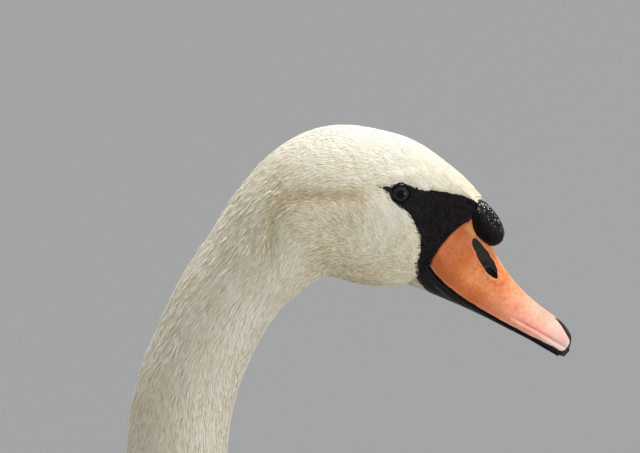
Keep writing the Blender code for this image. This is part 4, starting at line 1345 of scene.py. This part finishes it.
outer = body_sheet["fields"][..., POINT]
round_eye = np.hypot(outer[..., 0] - EYE[0], outer[..., 2] - EYE[2] + 0.0007)
off_eye = np.clip(ease(0.0056, 0.0066, round_eye) + (np.abs(outer[..., 1]) < 0.012), 0, 1)
head_area = (place_grid < HEAD_END + 0.004) & (place_grid > 0.0005)
white = (body_mask <= 0.0) & head_area
left = np.broadcast_to(np.sin(body_turns)[None, :] >= 0, white.shape)
face_first = 1 + 1.3 * ease(0.060, 0.020, place_grid)
for name, half, seed in (("coat_head_left", left, 101), ("coat_head_right", ~left, 102)):
    weight = (white & half) * off_eye * face_first
    make_tufts(name, body_sheet, weight, 32500, seed, head_sizes, head_flow, marked=True)
black = (body_mask > 0.40) & head_area  # its feathers point back, and so cover the rest of it
make_tufts("coat_mask", body_sheet, black * off_eye, 16500, 103, mask_sizes, head_flow, 2.0, True, True)

# %% [markdown]
# Down the neck the tufts grow longer and looser, and gather in clumps that show as soft shadows. The
# wedge under the lower bill gets short ones of its own.

# %% Coat of the neck
def neck_sizes(mask, place):
    """Length and width of a tuft, both growing down the neck."""
    down = ease(HEAD_END, NECK_END, place)
    return 0.0104 + 0.0094 * down, 0.00078 + 0.00100 * down


def no_turn(root):
    """Feathers that simply follow the body."""
    return 0.0


for name, start, end, count, seed in (
    ("coat_neck_upper", HEAD_END, NECK_HIGH, 32500, 111),
    ("coat_neck_middle", NECK_HIGH, NECK_LOW, 22000, 112),
    ("coat_neck_lower", NECK_LOW, NECK_END, 22000, 113),
):
    make_tufts(name, body_sheet, 1.0 * stretch(start, end), count, seed, neck_sizes, no_turn, 0.42)

below = np.broadcast_to(np.cos(chin_turns)[None, :] < -0.10, chin_outer.shape[:2])
fresh = (chin_places > CHIN_BEHIND - 0.0035)[:, None]


def chin_sizes(mask, place):
    """Short feathers all over the wedge."""
    return 0.0042, 0.0007


def forward_flow(root):
    """The wedge's own direction runs forwards, so its feathers turn half round and lie back."""
    return math.pi


make_tufts("coat_chin", chin_sheet, below * fresh, 3000, 114, chin_sizes, forward_flow, 1.0, True)

# %% [markdown]
# The breast, belly and flanks are of the same making, only larger. Under the wings nothing shows, so
# nothing grows there.

# %% Coat of breast, belly and flanks
def trunk_sizes(mask, place):
    """Length and width of a tuft: they double from the foot of the neck to the flank."""
    stops = (NECK_END, KNOTS[21], KNOTS[24], KNOTS[27], BODY_LENGTH)
    length = np.interp(place, stops, (0.0190, 0.024, 0.031, 0.036, 0.032))
    return length, np.interp(place, stops, (0.0020, 0.0030, 0.0044, 0.0052, 0.0046))


bare = wing_cover < 0.75
for name, start, end, count, seed in (
    ("coat_breast", NECK_END, FLANK_START, 24500, 202), ("coat_trunk", FLANK_START, BODY_LENGTH, 22000, 203),
):
    make_tufts(name, body_sheet, 1.0 * (stretch(start, end) & bare), count, seed, trunk_sizes, no_turn, 0.40)

# %% [markdown]
# ## Vanes
# On the wings and the tail a feather reads as a feather: a flat vane with a round tip, laid like a roof
# tile over the next. A vane is a closed grid, with stations along its shaft and points across it. Every
# point is read off the sheet below, so that a vane hugs the body however far it reaches round it.

# %% Growing vanes
SHAFT_WIDTH = 0.07  # of half a vane's width
NARROW = np.array((-1.0, 0.0, 1.0))
WIDE = np.array((-1.0, -0.5, -0.06, 0.06, 0.5, 1.0))


def vane_outline(along, widest, sharpness):
    """Half width along a vane as a share of its greatest: it swells to widest, then rounds off to the tip."""
    swell = np.sqrt(np.clip(1 - (1 - along / widest) ** 2, 0, 1))
    close = np.sqrt(np.clip(1 - np.clip((along - widest) / (1 - widest), 0, 1) ** sharpness, 0, 1))
    return np.where(along < widest, 0.22 + 0.78 * swell, close)


def round_trip(across):
    """Places across a vane's upper side and back along its lower one, and 1 for those above, 0 below."""
    back = across[::-1][1:-1]
    return np.concatenate([across, back]), np.repeat((1.0, 0.0), (len(across), len(back)))


def vane_faces(count, stations, ring):
    """Faces of count vanes: each is a root point, rings of points at its stations, and a tip point."""
    body = grid_faces(stations, ring, True) + 1
    first = np.arange(ring)
    start = np.stack([np.zeros(ring, int), (first + 1) % ring + 1, first + 1], axis=-1)
    last = 1 + (stations - 1) * ring
    end = np.stack([np.full(ring, 1 + stations * ring), last + first, last + (first + 1) % ring], axis=-1)
    offset = (np.arange(count) * (stations * ring + 2))[:, None, None]
    return [(group[None] + offset).reshape(-1, group.shape[1]) for group in (body, start, end)]


def vanes(sheet, place, turn, length, width, yaw, lift, stations, across, thick, widest=0.62, sharpness=2.4):
    """Closed vanes. Returns their points, the share across and along at each, and the map for the barbs."""
    count = len(place)
    along = np.linspace(0, 1, stations + 2)[1:-1] ** 0.85
    lateral, upper = round_trip(across)
    root = read_sheet(sheet, place, turn)
    ahead = length[:, None, None] * along[None, :, None]
    aside = width[:, None, None] / 2 * vane_outline(along, widest, sharpness)[None, :, None] * lateral
    cos, sin = np.cos(yaw)[:, None, None], np.sin(yaw)[:, None, None]
    go_place = (cos * ahead - sin * aside) / root[:, STEP_ALONG, None, None]
    go_turn = (sin * ahead + cos * aside) / root[:, STEP_AROUND, None, None]
    there = read_sheet(sheet, place[:, None, None] + go_place, turn[:, None, None] + go_turn)
    rise = lift[:, None, None] * (1 - (1 - along) ** 1.4)[None, :, None]
    camber = (1 - lateral**2) * np.where(upper > 0, 1.0, -0.35)
    shaft = 0.5 * bump(lateral, 0.0, SHAFT_WIDTH) * upper * (1 - 0.7 * along[:, None])
    height = -root[:, DEPTH, None, None] * (1 - rise) + thick * (camber + shaft)
    tip_place = place + np.cos(yaw) * length / root[:, STEP_ALONG]
    tip_turn = turn + np.sin(yaw) * length / root[:, STEP_AROUND]
    at_tip = lifted(read_sheet(sheet, tip_place, tip_turn), -root[:, DEPTH] * (1 - lift))
    grid = lifted(there, height).reshape(count, -1, 3)
    points = np.concatenate([sunk(root, 1.02)[:, None, :], grid, at_tip[:, None, :]], axis=1)
    flat = np.stack(np.broadcast_arrays(lateral / 2 + 0.5, along[:, None]), axis=-1).reshape(-1, 2)
    flat = np.concatenate([[(0.5, 0.0)], flat, [(0.5, 1.0)]])
    vane_map = (flat - (0.5, 0.0)) * np.stack([width, length], axis=-1)[:, None, :] * (2.0, 1.0)
    return points, flat, vane_map


def make_vanes(name, sheet, place, turn, length, width, yaw, lift, seed, stations, across, thick, **shape):
    """A piece of coat made of vanes, with a tint for each and the maps for bake and barbs."""
    dice = np.random.default_rng(seed)
    points, flat, vane_map = vanes(
        sheet, place, turn, length, width, yaw, lift, stations, across, thick, **shape
    )
    root = read_sheet(sheet, place, turn)[:, POINT]
    tint = np.clip(shared_tint(root) + dice.normal(0, 0.09, len(place)), 0, 2)
    # painted shade under the row above: each vane is greyer towards its root, where the next row covers it,
    # and whiter at its tip
    shade = -0.42 * ease(0.97, 0.70, flat[:, 1])  # greyer where the next row covers it, whiter at the tip
    return make_piece(
        name, points.reshape(-1, 3), vane_faces(len(place), stations, 2 * len(across) - 2), *VANE,
        {"mask": -1.0, "tint": (tint[:, None] + shade).ravel()},
        {"OFBake": patch_map(sheet, place, turn, flat).reshape(-1, 2), "Vane": vane_map.reshape(-1, 2)},
        crisp=True,
    )


# %% [markdown]
# Vanes are laid in rows like tiles, half a step apart from row to row, with a little disorder.

# %% Rows of roots
def tile_rows(sheet, ends, span, length_at, width_at, closeness, dice):
    """Roots in rows between two places and two turns.

    closeness is the share of a feather's length from row to row, and of its width from one to the next.
    """
    places, turns = [], []
    (place, end), odd = ends, 0
    while place < end:
        round_length = read_sheet(sheet, np.full(64, place), np.linspace(*span, 64))[:, STEP_AROUND].mean()
        step = closeness[1] * width_at(place) / round_length
        row = np.arange(span[0] + step * (0.25 + 0.5 * odd), span[1], step)
        places.append(place + closeness[0] * length_at(place) * dice.normal(0, 0.16, len(row)))
        turns.append(row + step * dice.normal(0, 0.12, len(row)))
        place += closeness[0] * length_at(place)
        odd = 1 - odd
    return np.concatenate(places), np.concatenate(turns)


# %% [markdown]
# ## Wings
# A folded wing shows scale-like coverts at its bend, then longer and longer rows, and last the broad
# tertials that reach back over the flight feathers. One rule sets them all: how long a feather is at its
# distance from the bend. Rows lie closer where the feathers are short.

# %% Coverts and tertials
WING_DEPTH = 0.0034
WING_KEYS = (0.060, 0.120, 0.200, 0.300, 0.400, 0.460, 0.490)
WING_LENGTHS = (0.018, 0.027, 0.046, 0.076, 0.112, 0.130, 0.117)


def wing_length(behind):
    """Length of a wing feather by its root's distance behind the eye's level."""
    return np.interp(behind, WING_KEYS, WING_LENGTHS)


def wing_width(behind):
    """Width of a wing feather, which grows slower than its length."""
    return np.interp(wing_length(behind), (0.018, 0.046, 0.076, 0.136), (0.0135, 0.027, 0.035, 0.043))


def open_sheet(places, across, surface, depth, outside):
    """A sheet that isn't closed, of even depth, with its normals turned so that they face outside."""
    sheet = make_sheet(places, across, surface, np.full(surface.shape[:2], depth), False)
    middle = sheet["fields"][len(places) // 2, len(across) // 2, NORMAL]
    sheet["fields"][..., NORMAL] *= np.sign(middle @ outside)
    return sheet


wing_shares = np.linspace(0, 1, 60)


def sheet_of_wing(start, end, count, side, depth):
    """The wing's sheet between two distances behind the eye's level."""
    places = np.linspace(start, end, count)
    surface = wing_points(places, wing_shares[None, :], side)
    return open_sheet(places, wing_shares, surface, depth, (0, side, 0))


for (side, suffix), seed in zip(SIDES, (301, 302)):
    wing_sheet = sheet_of_wing(wing_behind[0], wing_behind[-1], 150, side, WING_DEPTH)
    dice = np.random.default_rng(seed)
    behind, share = tile_rows(wing_sheet, (0.064, 0.490), (0, 1), wing_length, wing_width, (0.27, 0.56), dice)
    number = len(behind)
    slanted = 1 - 0.17 * ease(0.30, 1.0, share) * ease(0.40, 0.47, behind)  # the last rows end aslant
    make_vanes(
        "coat_wing" + suffix, wing_sheet, behind, share,
        wing_length(behind) * slanted * dice.uniform(0.95, 1.06, number),
        wing_width(behind) * dice.uniform(0.94, 1.06, number), dice.normal(0, 0.045, number),
        dice.uniform(0.94, 1.0, number), seed + 10, 10, WIDE, 0.0003, widest=0.58, sharpness=2.8,
    )

# %% [markdown]
# Under the last rows lies a lining: a thin closed shell, a little deeper than the feathers, so that no
# gap shows between their tips. The shoulder feathers meet along the middle of the back and hide the line
# where the two wings touch.

# %% Lining of the wings and middle of the back
LINING_DEPTH, LINING_THICK = 0.0036, 0.0030


def plain_down(name, points, faces, shift=0.0):
    """A piece without feathers of its own, in the colours of the plumage."""
    return make_piece(name, points, faces, *DOWN, {"mask": -1.0, "tint": shared_tint(points) + shift})


for side, suffix in SIDES:
    lining_sheet = sheet_of_wing(0.380, 0.588, 60, side, 0.0)
    deep = (LINING_DEPTH - 0.0020 * ease(0.50, 0.58, lining_sheet["places"]))[:, None]
    upper, lower = (lifted(lining_sheet["fields"], -depth) for depth in (deep, deep + LINING_THICK))
    plain_down("lining" + suffix, *capped(np.concatenate([upper, lower[:, ::-1]], axis=1)), -0.1)

BACK_HALF, BACK_WIDTH = 0.040, 0.026  # half the width of the back's sheet, and the width of its feathers
BACK_OVER = 0.0012  # how far it lies over the wings


def back_points(behind, across):
    """The roof of both wings near the middle, as height over distance behind and distance across."""
    row = wing_row(behind)[:, None, :]
    height = row[..., 3] + (row[..., 2] - row[..., 3]) * np.sqrt(1 - (across / row[..., 1]) ** 2)
    return xyz(row[..., 0], across, height + BACK_OVER)


def back_length(behind):
    """Length of a back feather by its root's distance behind the eye's level."""
    return 0.060 + 0.06 * (behind - 0.15)


back_x = np.linspace(0.110, 0.600, 90)
back_across = np.linspace(-BACK_HALF, BACK_HALF, 41)
surface = back_points(back_x, back_across[None, :])
back_sheet = open_sheet(back_x, back_across, surface, WING_DEPTH, (0, 0, 1))
dice = np.random.default_rng(351)
behind, across = tile_rows(
    back_sheet, (0.126, 0.522), (-0.027, 0.027), back_length, lambda at: BACK_WIDTH, (0.20, 0.5), dice
)
number = len(behind)
make_vanes(
    "coat_back", back_sheet, behind, across, back_length(behind) * dice.uniform(0.9, 1.1, number),
    BACK_WIDTH * dice.uniform(0.9, 1.1, number), dice.normal(0, 0.06, number) + 2.0 * across,
    dice.uniform(0.94, 1.0, number), 352, 10, WIDE, 0.0003, widest=0.58, sharpness=2.6,
)

# %% [markdown]
# ## Flight feathers and tail
# The primaries are folded like a fan of long blades, the shorter on the longer, and their tips lie over
# the tail. Each blade is a closed grid of its own. The blades below them don't show, and a plain core
# stands for them.

# %% Flight feathers
FLIGHT = np.array((
    # x, distance of the blade's middle from the bird's middle, half width, height of the middle
    (-0.470, 0.044, 0.026, 0.2440), (-0.540, 0.030, 0.022, 0.2300), (-0.600, 0.017, 0.0165, 0.2140),
    (-0.645, 0.009, 0.0140, 0.2030), (-0.675, 0.002, 0.0110, 0.1960), (-0.696, -0.003, 0.0070, 0.1925),
))
flight_rows = natural_spline(np.arange(len(FLIGHT)), FLIGHT)
BLADES = 8  # on each side
BLADE_SIZE = (0.011, 0.20)  # half its width and its length, for the barbs
BLADE_ACROSS, BLADE_UPPER = round_trip(WIDE)


def fan_height(row, across):
    """Height of the fan's surface: it leans outwards and curves down towards both edges."""
    return row[..., 3] - 0.35 * across - 2.2 * across**2


def blade_relief(along, thick, below):
    """Height of a blade over its middle plane: a low arch, flatter below, with the shaft along its top."""
    arch = thick * (1 - BLADE_ACROSS**2) * np.where(BLADE_UPPER > 0, 1, -below)
    return arch + 0.0008 * bump(BLADE_ACROSS, 0.0, SHAFT_WIDTH) * BLADE_UPPER * (1 - 0.6 * along)


def flight_core(side):
    """The folded fan's inside, where the hidden blades lie: a lens that thins to its edges."""
    row = flight_rows(np.linspace(0, 4.4, 60))[:, None, :]
    turn = full_turn(40)[None, :]
    across = row[..., 2] * 0.90 * np.cos(turn)
    thin = np.minimum(0.0045, 0.30 * row[..., 2]) * (np.sin(turn) - 1) * 0.5
    height = fan_height(row, across) - 0.0060 + thin
    return xyz(row[..., 0], side * (row[..., 1] + across), height)


def blade_points(side, order):
    """One primary: a long narrow vane that starts inside the wing and ends at its own distance back."""
    rank = order / (BLADES - 1)
    along = np.linspace(0, 1, 44)[:, None]
    row = flight_rows(along[:, 0] * (5.0 - 2.5 * rank))[:, None, :]
    centre = (0.62 - 1.25 * rank) * np.clip(row[..., 2] - 0.004, 0.0, 1)
    across = centre + 0.0085 * vane_outline(0.12 + 0.88 * along, 0.45, 1.7) * BLADE_ACROSS
    height = fan_height(row, across) - 0.0045 + 0.0115 * rank + 0.0020 * side  # left on right, at the tips
    height = height + blade_relief(along, 0.0007, 0.4)
    return xyz(row[..., 0], side * (row[..., 1] + across), height)


def blades_piece(name, blades, showing, replaced):
    """Several long vanes as one piece, with maps for the bake and the barbs.

    showing is 1 or -1 for each blade: the side of its shaft that the next one leaves open and that is whiter.
    """
    points, faces = together([capped(blade) for blade in blades])
    flats, bakes, shades = [], [], []
    for order, blade in enumerate(blades):
        along = np.linspace(0, 1, len(blade))[:, None]
        flat = np.stack(np.broadcast_arrays(BLADE_ACROSS, along), axis=-1).reshape(-1, 2)
        flat = np.concatenate([flat, [(0, 0), (0, 1)]])
        flats.append(flat * BLADE_SIZE)
        # painted shade: each blade is darker away from its open edge, next to the edge of the blade over it;
        # the small sine gives each blade a tone of its own
        shades.append(-0.34 * ease(0.98, 0.45, showing[order] * flat[:, 0]) + 0.06 * np.sin(order * 2.4))
        patch = np.array((0.04 + 0.92 * order / len(blades), 0.5))
        bakes.append(patch + PATCH_SIZE * (flat * (0.5, 1) - (0, 0.5)))
    piece = make_piece(
        name, points, faces, *VANE, {"mask": -1.0, "tint": shared_tint(points) + np.concatenate(shades)},
        {"OFBake": np.concatenate(bakes), "Vane": np.concatenate(flats)}, crisp=True,
    )
    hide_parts(replaced)


for side, suffix in SIDES:
    blades = [blade_points(side, order) for order in range(BLADES)]
    blades_piece("primaries" + suffix, blades, [1.0] * BLADES, "flight" + suffix)
    plain_down("primaries_inside" + suffix, *capped(flight_core(side)))

# %% [markdown]
# The tail is a blunt wedge of 22 feathers, longest in the middle. They fan out from a fleshy root, which
# short feathers cover.

# %% Tail
TAIL = np.array((
    # x, half width, height, thickness, droop of the edges
    (-0.5865, 0.0590, 0.1620, 0.0640, 0.000), (-0.6150, 0.0640, 0.1640, 0.0440, 0.006),
    (-0.6500, 0.0670, 0.1690, 0.0250, 0.011), (-0.6850, 0.0600, 0.1750, 0.0130, 0.012),
    (-0.7180, 0.0450, 0.1810, 0.0070, 0.009), (-0.7450, 0.0250, 0.1850, 0.0040, 0.005),
    (-0.7600, 0.0060, 0.1870, 0.0020, 0.001),
))
tail_rows = natural_spline(np.arange(len(TAIL)), TAIL)
TAIL_FEATHERS = 22
TAIL_ROOT, TAIL_END = -0.590, -0.7590
CONE_FEATHER = (0.044, 0.020)  # length and width of the short feathers on the tail's root


def tail_blade(order):
    """A tail feather: it starts in the root of the tail and fans out, and the middle ones reach furthest."""
    middle = (TAIL_FEATHERS - 1) / 2
    rank = (order - middle) / middle
    along = np.linspace(0, 1, 30)[:, None]
    end = TAIL_END + 0.060 * abs(rank) ** 1.7 + 0.0016 * (1 + math.sin(2.4 * order))
    x = TAIL_ROOT + (end - TAIL_ROOT) * along
    row = tail_rows(np.interp(-x[:, 0], -TAIL[:, 0], np.arange(len(TAIL))))[:, None, :]
    centre = rank * (0.034 + 0.024 * along)
    across = centre + 0.0074 * vane_outline(0.15 + 0.85 * along, 0.72, 1.6) * BLADE_ACROSS
    level = row[..., 2] - 1.1 * across**2 + 0.0030 * (1 - abs(rank)) - 0.0011 * abs(order - middle)
    return xyz(x, across, level + blade_relief(along, 0.0006, 0.5))


tail_blades = [tail_blade(order) for order in range(TAIL_FEATHERS)]
blades_piece("tail_feathers", tail_blades, np.repeat((-1.0, 1.0), TAIL_FEATHERS // 2), "tail")


def tail_cone(places, turns):
    """The fleshy root of the tail with its coverts: a flat oval that thins to nothing over the feathers."""
    row = tail_rows(places)[:, None, :]
    sideways = np.sin(turns)
    fade = 1 - ease(0.6, 3.0, places)[:, None]
    thin = 1 - 0.70 * ease(1.2, 2.6, places)[:, None]
    height = row[..., 2] - row[..., 4] * sideways**2 + row[..., 3] / 2 * thin * np.cos(turns)
    return xyz(row[..., 0], row[..., 1] * sideways * (0.66 + 0.34 * fade), height)


cone_places = np.linspace(0, 4.8, 100)
cone_turns = full_turn(96)
cone = tail_cone(cone_places, cone_turns[None, :])
cone_depth = np.minimum(0.0045, 0.22 * tail_rows(cone_places)[:, 3] * (1 - 0.6 * ease(1.2, 2.6, cone_places)))
cone_depth = np.broadcast_to(cone_depth[:, None], cone.shape[:2])
cone_sheet = make_sheet(cone_places, cone_turns, cone, cone_depth, True)
plain_down("tail_root", *capped(sunk(cone_sheet["fields"], 1.05)[cone_places < 2.7]))
dice = np.random.default_rng(402)
place, turn = tile_rows(
    cone_sheet, (0.0, 2.0), (0, TAU), lambda at: 1.35, lambda at: CONE_FEATHER[1], (0.13, 0.5), dice
)
flat_enough = np.abs(np.cos(turn)) > 0.40 * ease(0.3, 1.2, place)  # none is bent round the thin edge
place, turn = place[flat_enough], turn[flat_enough]
number = len(place)
make_vanes(
    "coat_tail_root", cone_sheet, place, turn, CONE_FEATHER[0] * dice.uniform(0.85, 1.10, number),
    np.full(number, CONE_FEATHER[1]), dice.normal(0, 0.05, number), dice.uniform(0.90, 1.0, number), 403,
    6, NARROW, 0.0004,
)

# %% [markdown]
# ## Feet
# The feet keep the shape of their solids: blackish webs with toes raised in them. They get a scaly
# finish.

# %% Feet
for name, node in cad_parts.items():
    if name.startswith(("foot", "shank", "hind_toe")):
        node.data.materials.clear()
        node.data.materials.append(FINISHES["foot_grey"])

# %% [markdown]
# ## Floor, light and camera
# The floor is a plain grey sheet. A sun with a wide angle stands high over the bird's far shoulder, as
# bright as a thinly clouded sky. A weak square light fills in low from ahead, on the camera's side, and a
# warm grey world does the rest.

# %% Floor and light
FLOOR_REACH = 40.0
FLOOR_LOOK = {"Base Color": (0.193, 0.199, 0.207, 1), "Roughness": 0.9, "Specular IOR Level": 0.15}
floor_material = bpy.data.materials.new("floor_pale")
floor_material.use_nodes = True
for key, setting in FLOOR_LOOK.items():
    floor_material.node_tree.nodes["Principled BSDF"].inputs[key].default_value = setting
floor_mesh = bpy.data.meshes.new("floor")
corners = [(x * FLOOR_REACH, y * FLOOR_REACH, 0) for x, y in ((-1, -1), (1, -1), (1, 1), (-1, 1))]
floor_mesh.from_pydata(corners, [], [(0, 1, 2, 3)])
floor_mesh.materials.append(floor_material)
floor = placed("floor", floor_mesh)


def light(name, kind, power, colour, turned, **settings):
    """A light of that kind, turned as asked."""
    lamp = bpy.data.lights.new(name, kind)
    lamp.energy, lamp.color = power, colour
    for key, setting in settings.items():
        setattr(lamp, key, setting)
    holder = placed(name, lamp)
    holder.rotation_euler = turned.to_euler()
    return holder


high = Vector((0.20, 0.24, 0.95)).to_track_quat("Z", "Y")
light("bright_sky", "SUN", 4.25, (1.0, 0.985, 0.96), high, angle=math.radians(38))
head_at = Vector((EYE[0] + SHIFT - 0.05, 0.0, 0.66))
fill_at = Vector((head_at.x + 2.7, -1.7, 0.10))
low = (head_at - fill_at).to_track_quat("-Z", "Y")
light("fill_front", "AREA", 90, (1.0, 0.980, 0.940), low, shape="SQUARE", size=2.2).location = fill_at
world = bpy.data.worlds.new("studio")
bpy.context.scene.world = world
world.use_nodes = True
world.node_tree.nodes["Background"].inputs["Color"].default_value = (0.855, 0.828, 0.775, 1)
world.node_tree.nodes["Background"].inputs["Strength"].default_value = 0.62
bpy.context.scene.view_settings.view_transform = "Standard"

# %% [markdown]
# The camera stands three metres away with a long lens, as a watcher would, and looks down a little. It
# sees the head and the upper neck from the bird's right side.

# %% Camera
CAMERA_AWAY = 3.0
LOOKING_DOWN = math.radians(16)
VIEW_WIDTH = 0.3648  # width of what the camera sees, at its aim
AIM = np.array((-0.04543 + SHIFT, -0.02926, 0.68164))
camera_data = bpy.data.cameras.new("camera")
camera_data.lens = camera_data.sensor_width * CAMERA_AWAY / VIEW_WIDTH
camera_data.clip_start, camera_data.clip_end = 0.1, 200.0
camera = placed("camera", camera_data)
camera.location = AIM + CAMERA_AWAY * np.array((0.0, -math.cos(LOOKING_DOWN), math.sin(LOOKING_DOWN)))
camera.rotation_euler = (math.pi / 2 - LOOKING_DOWN, 0.0, 0.0)
bpy.context.scene.camera = camera
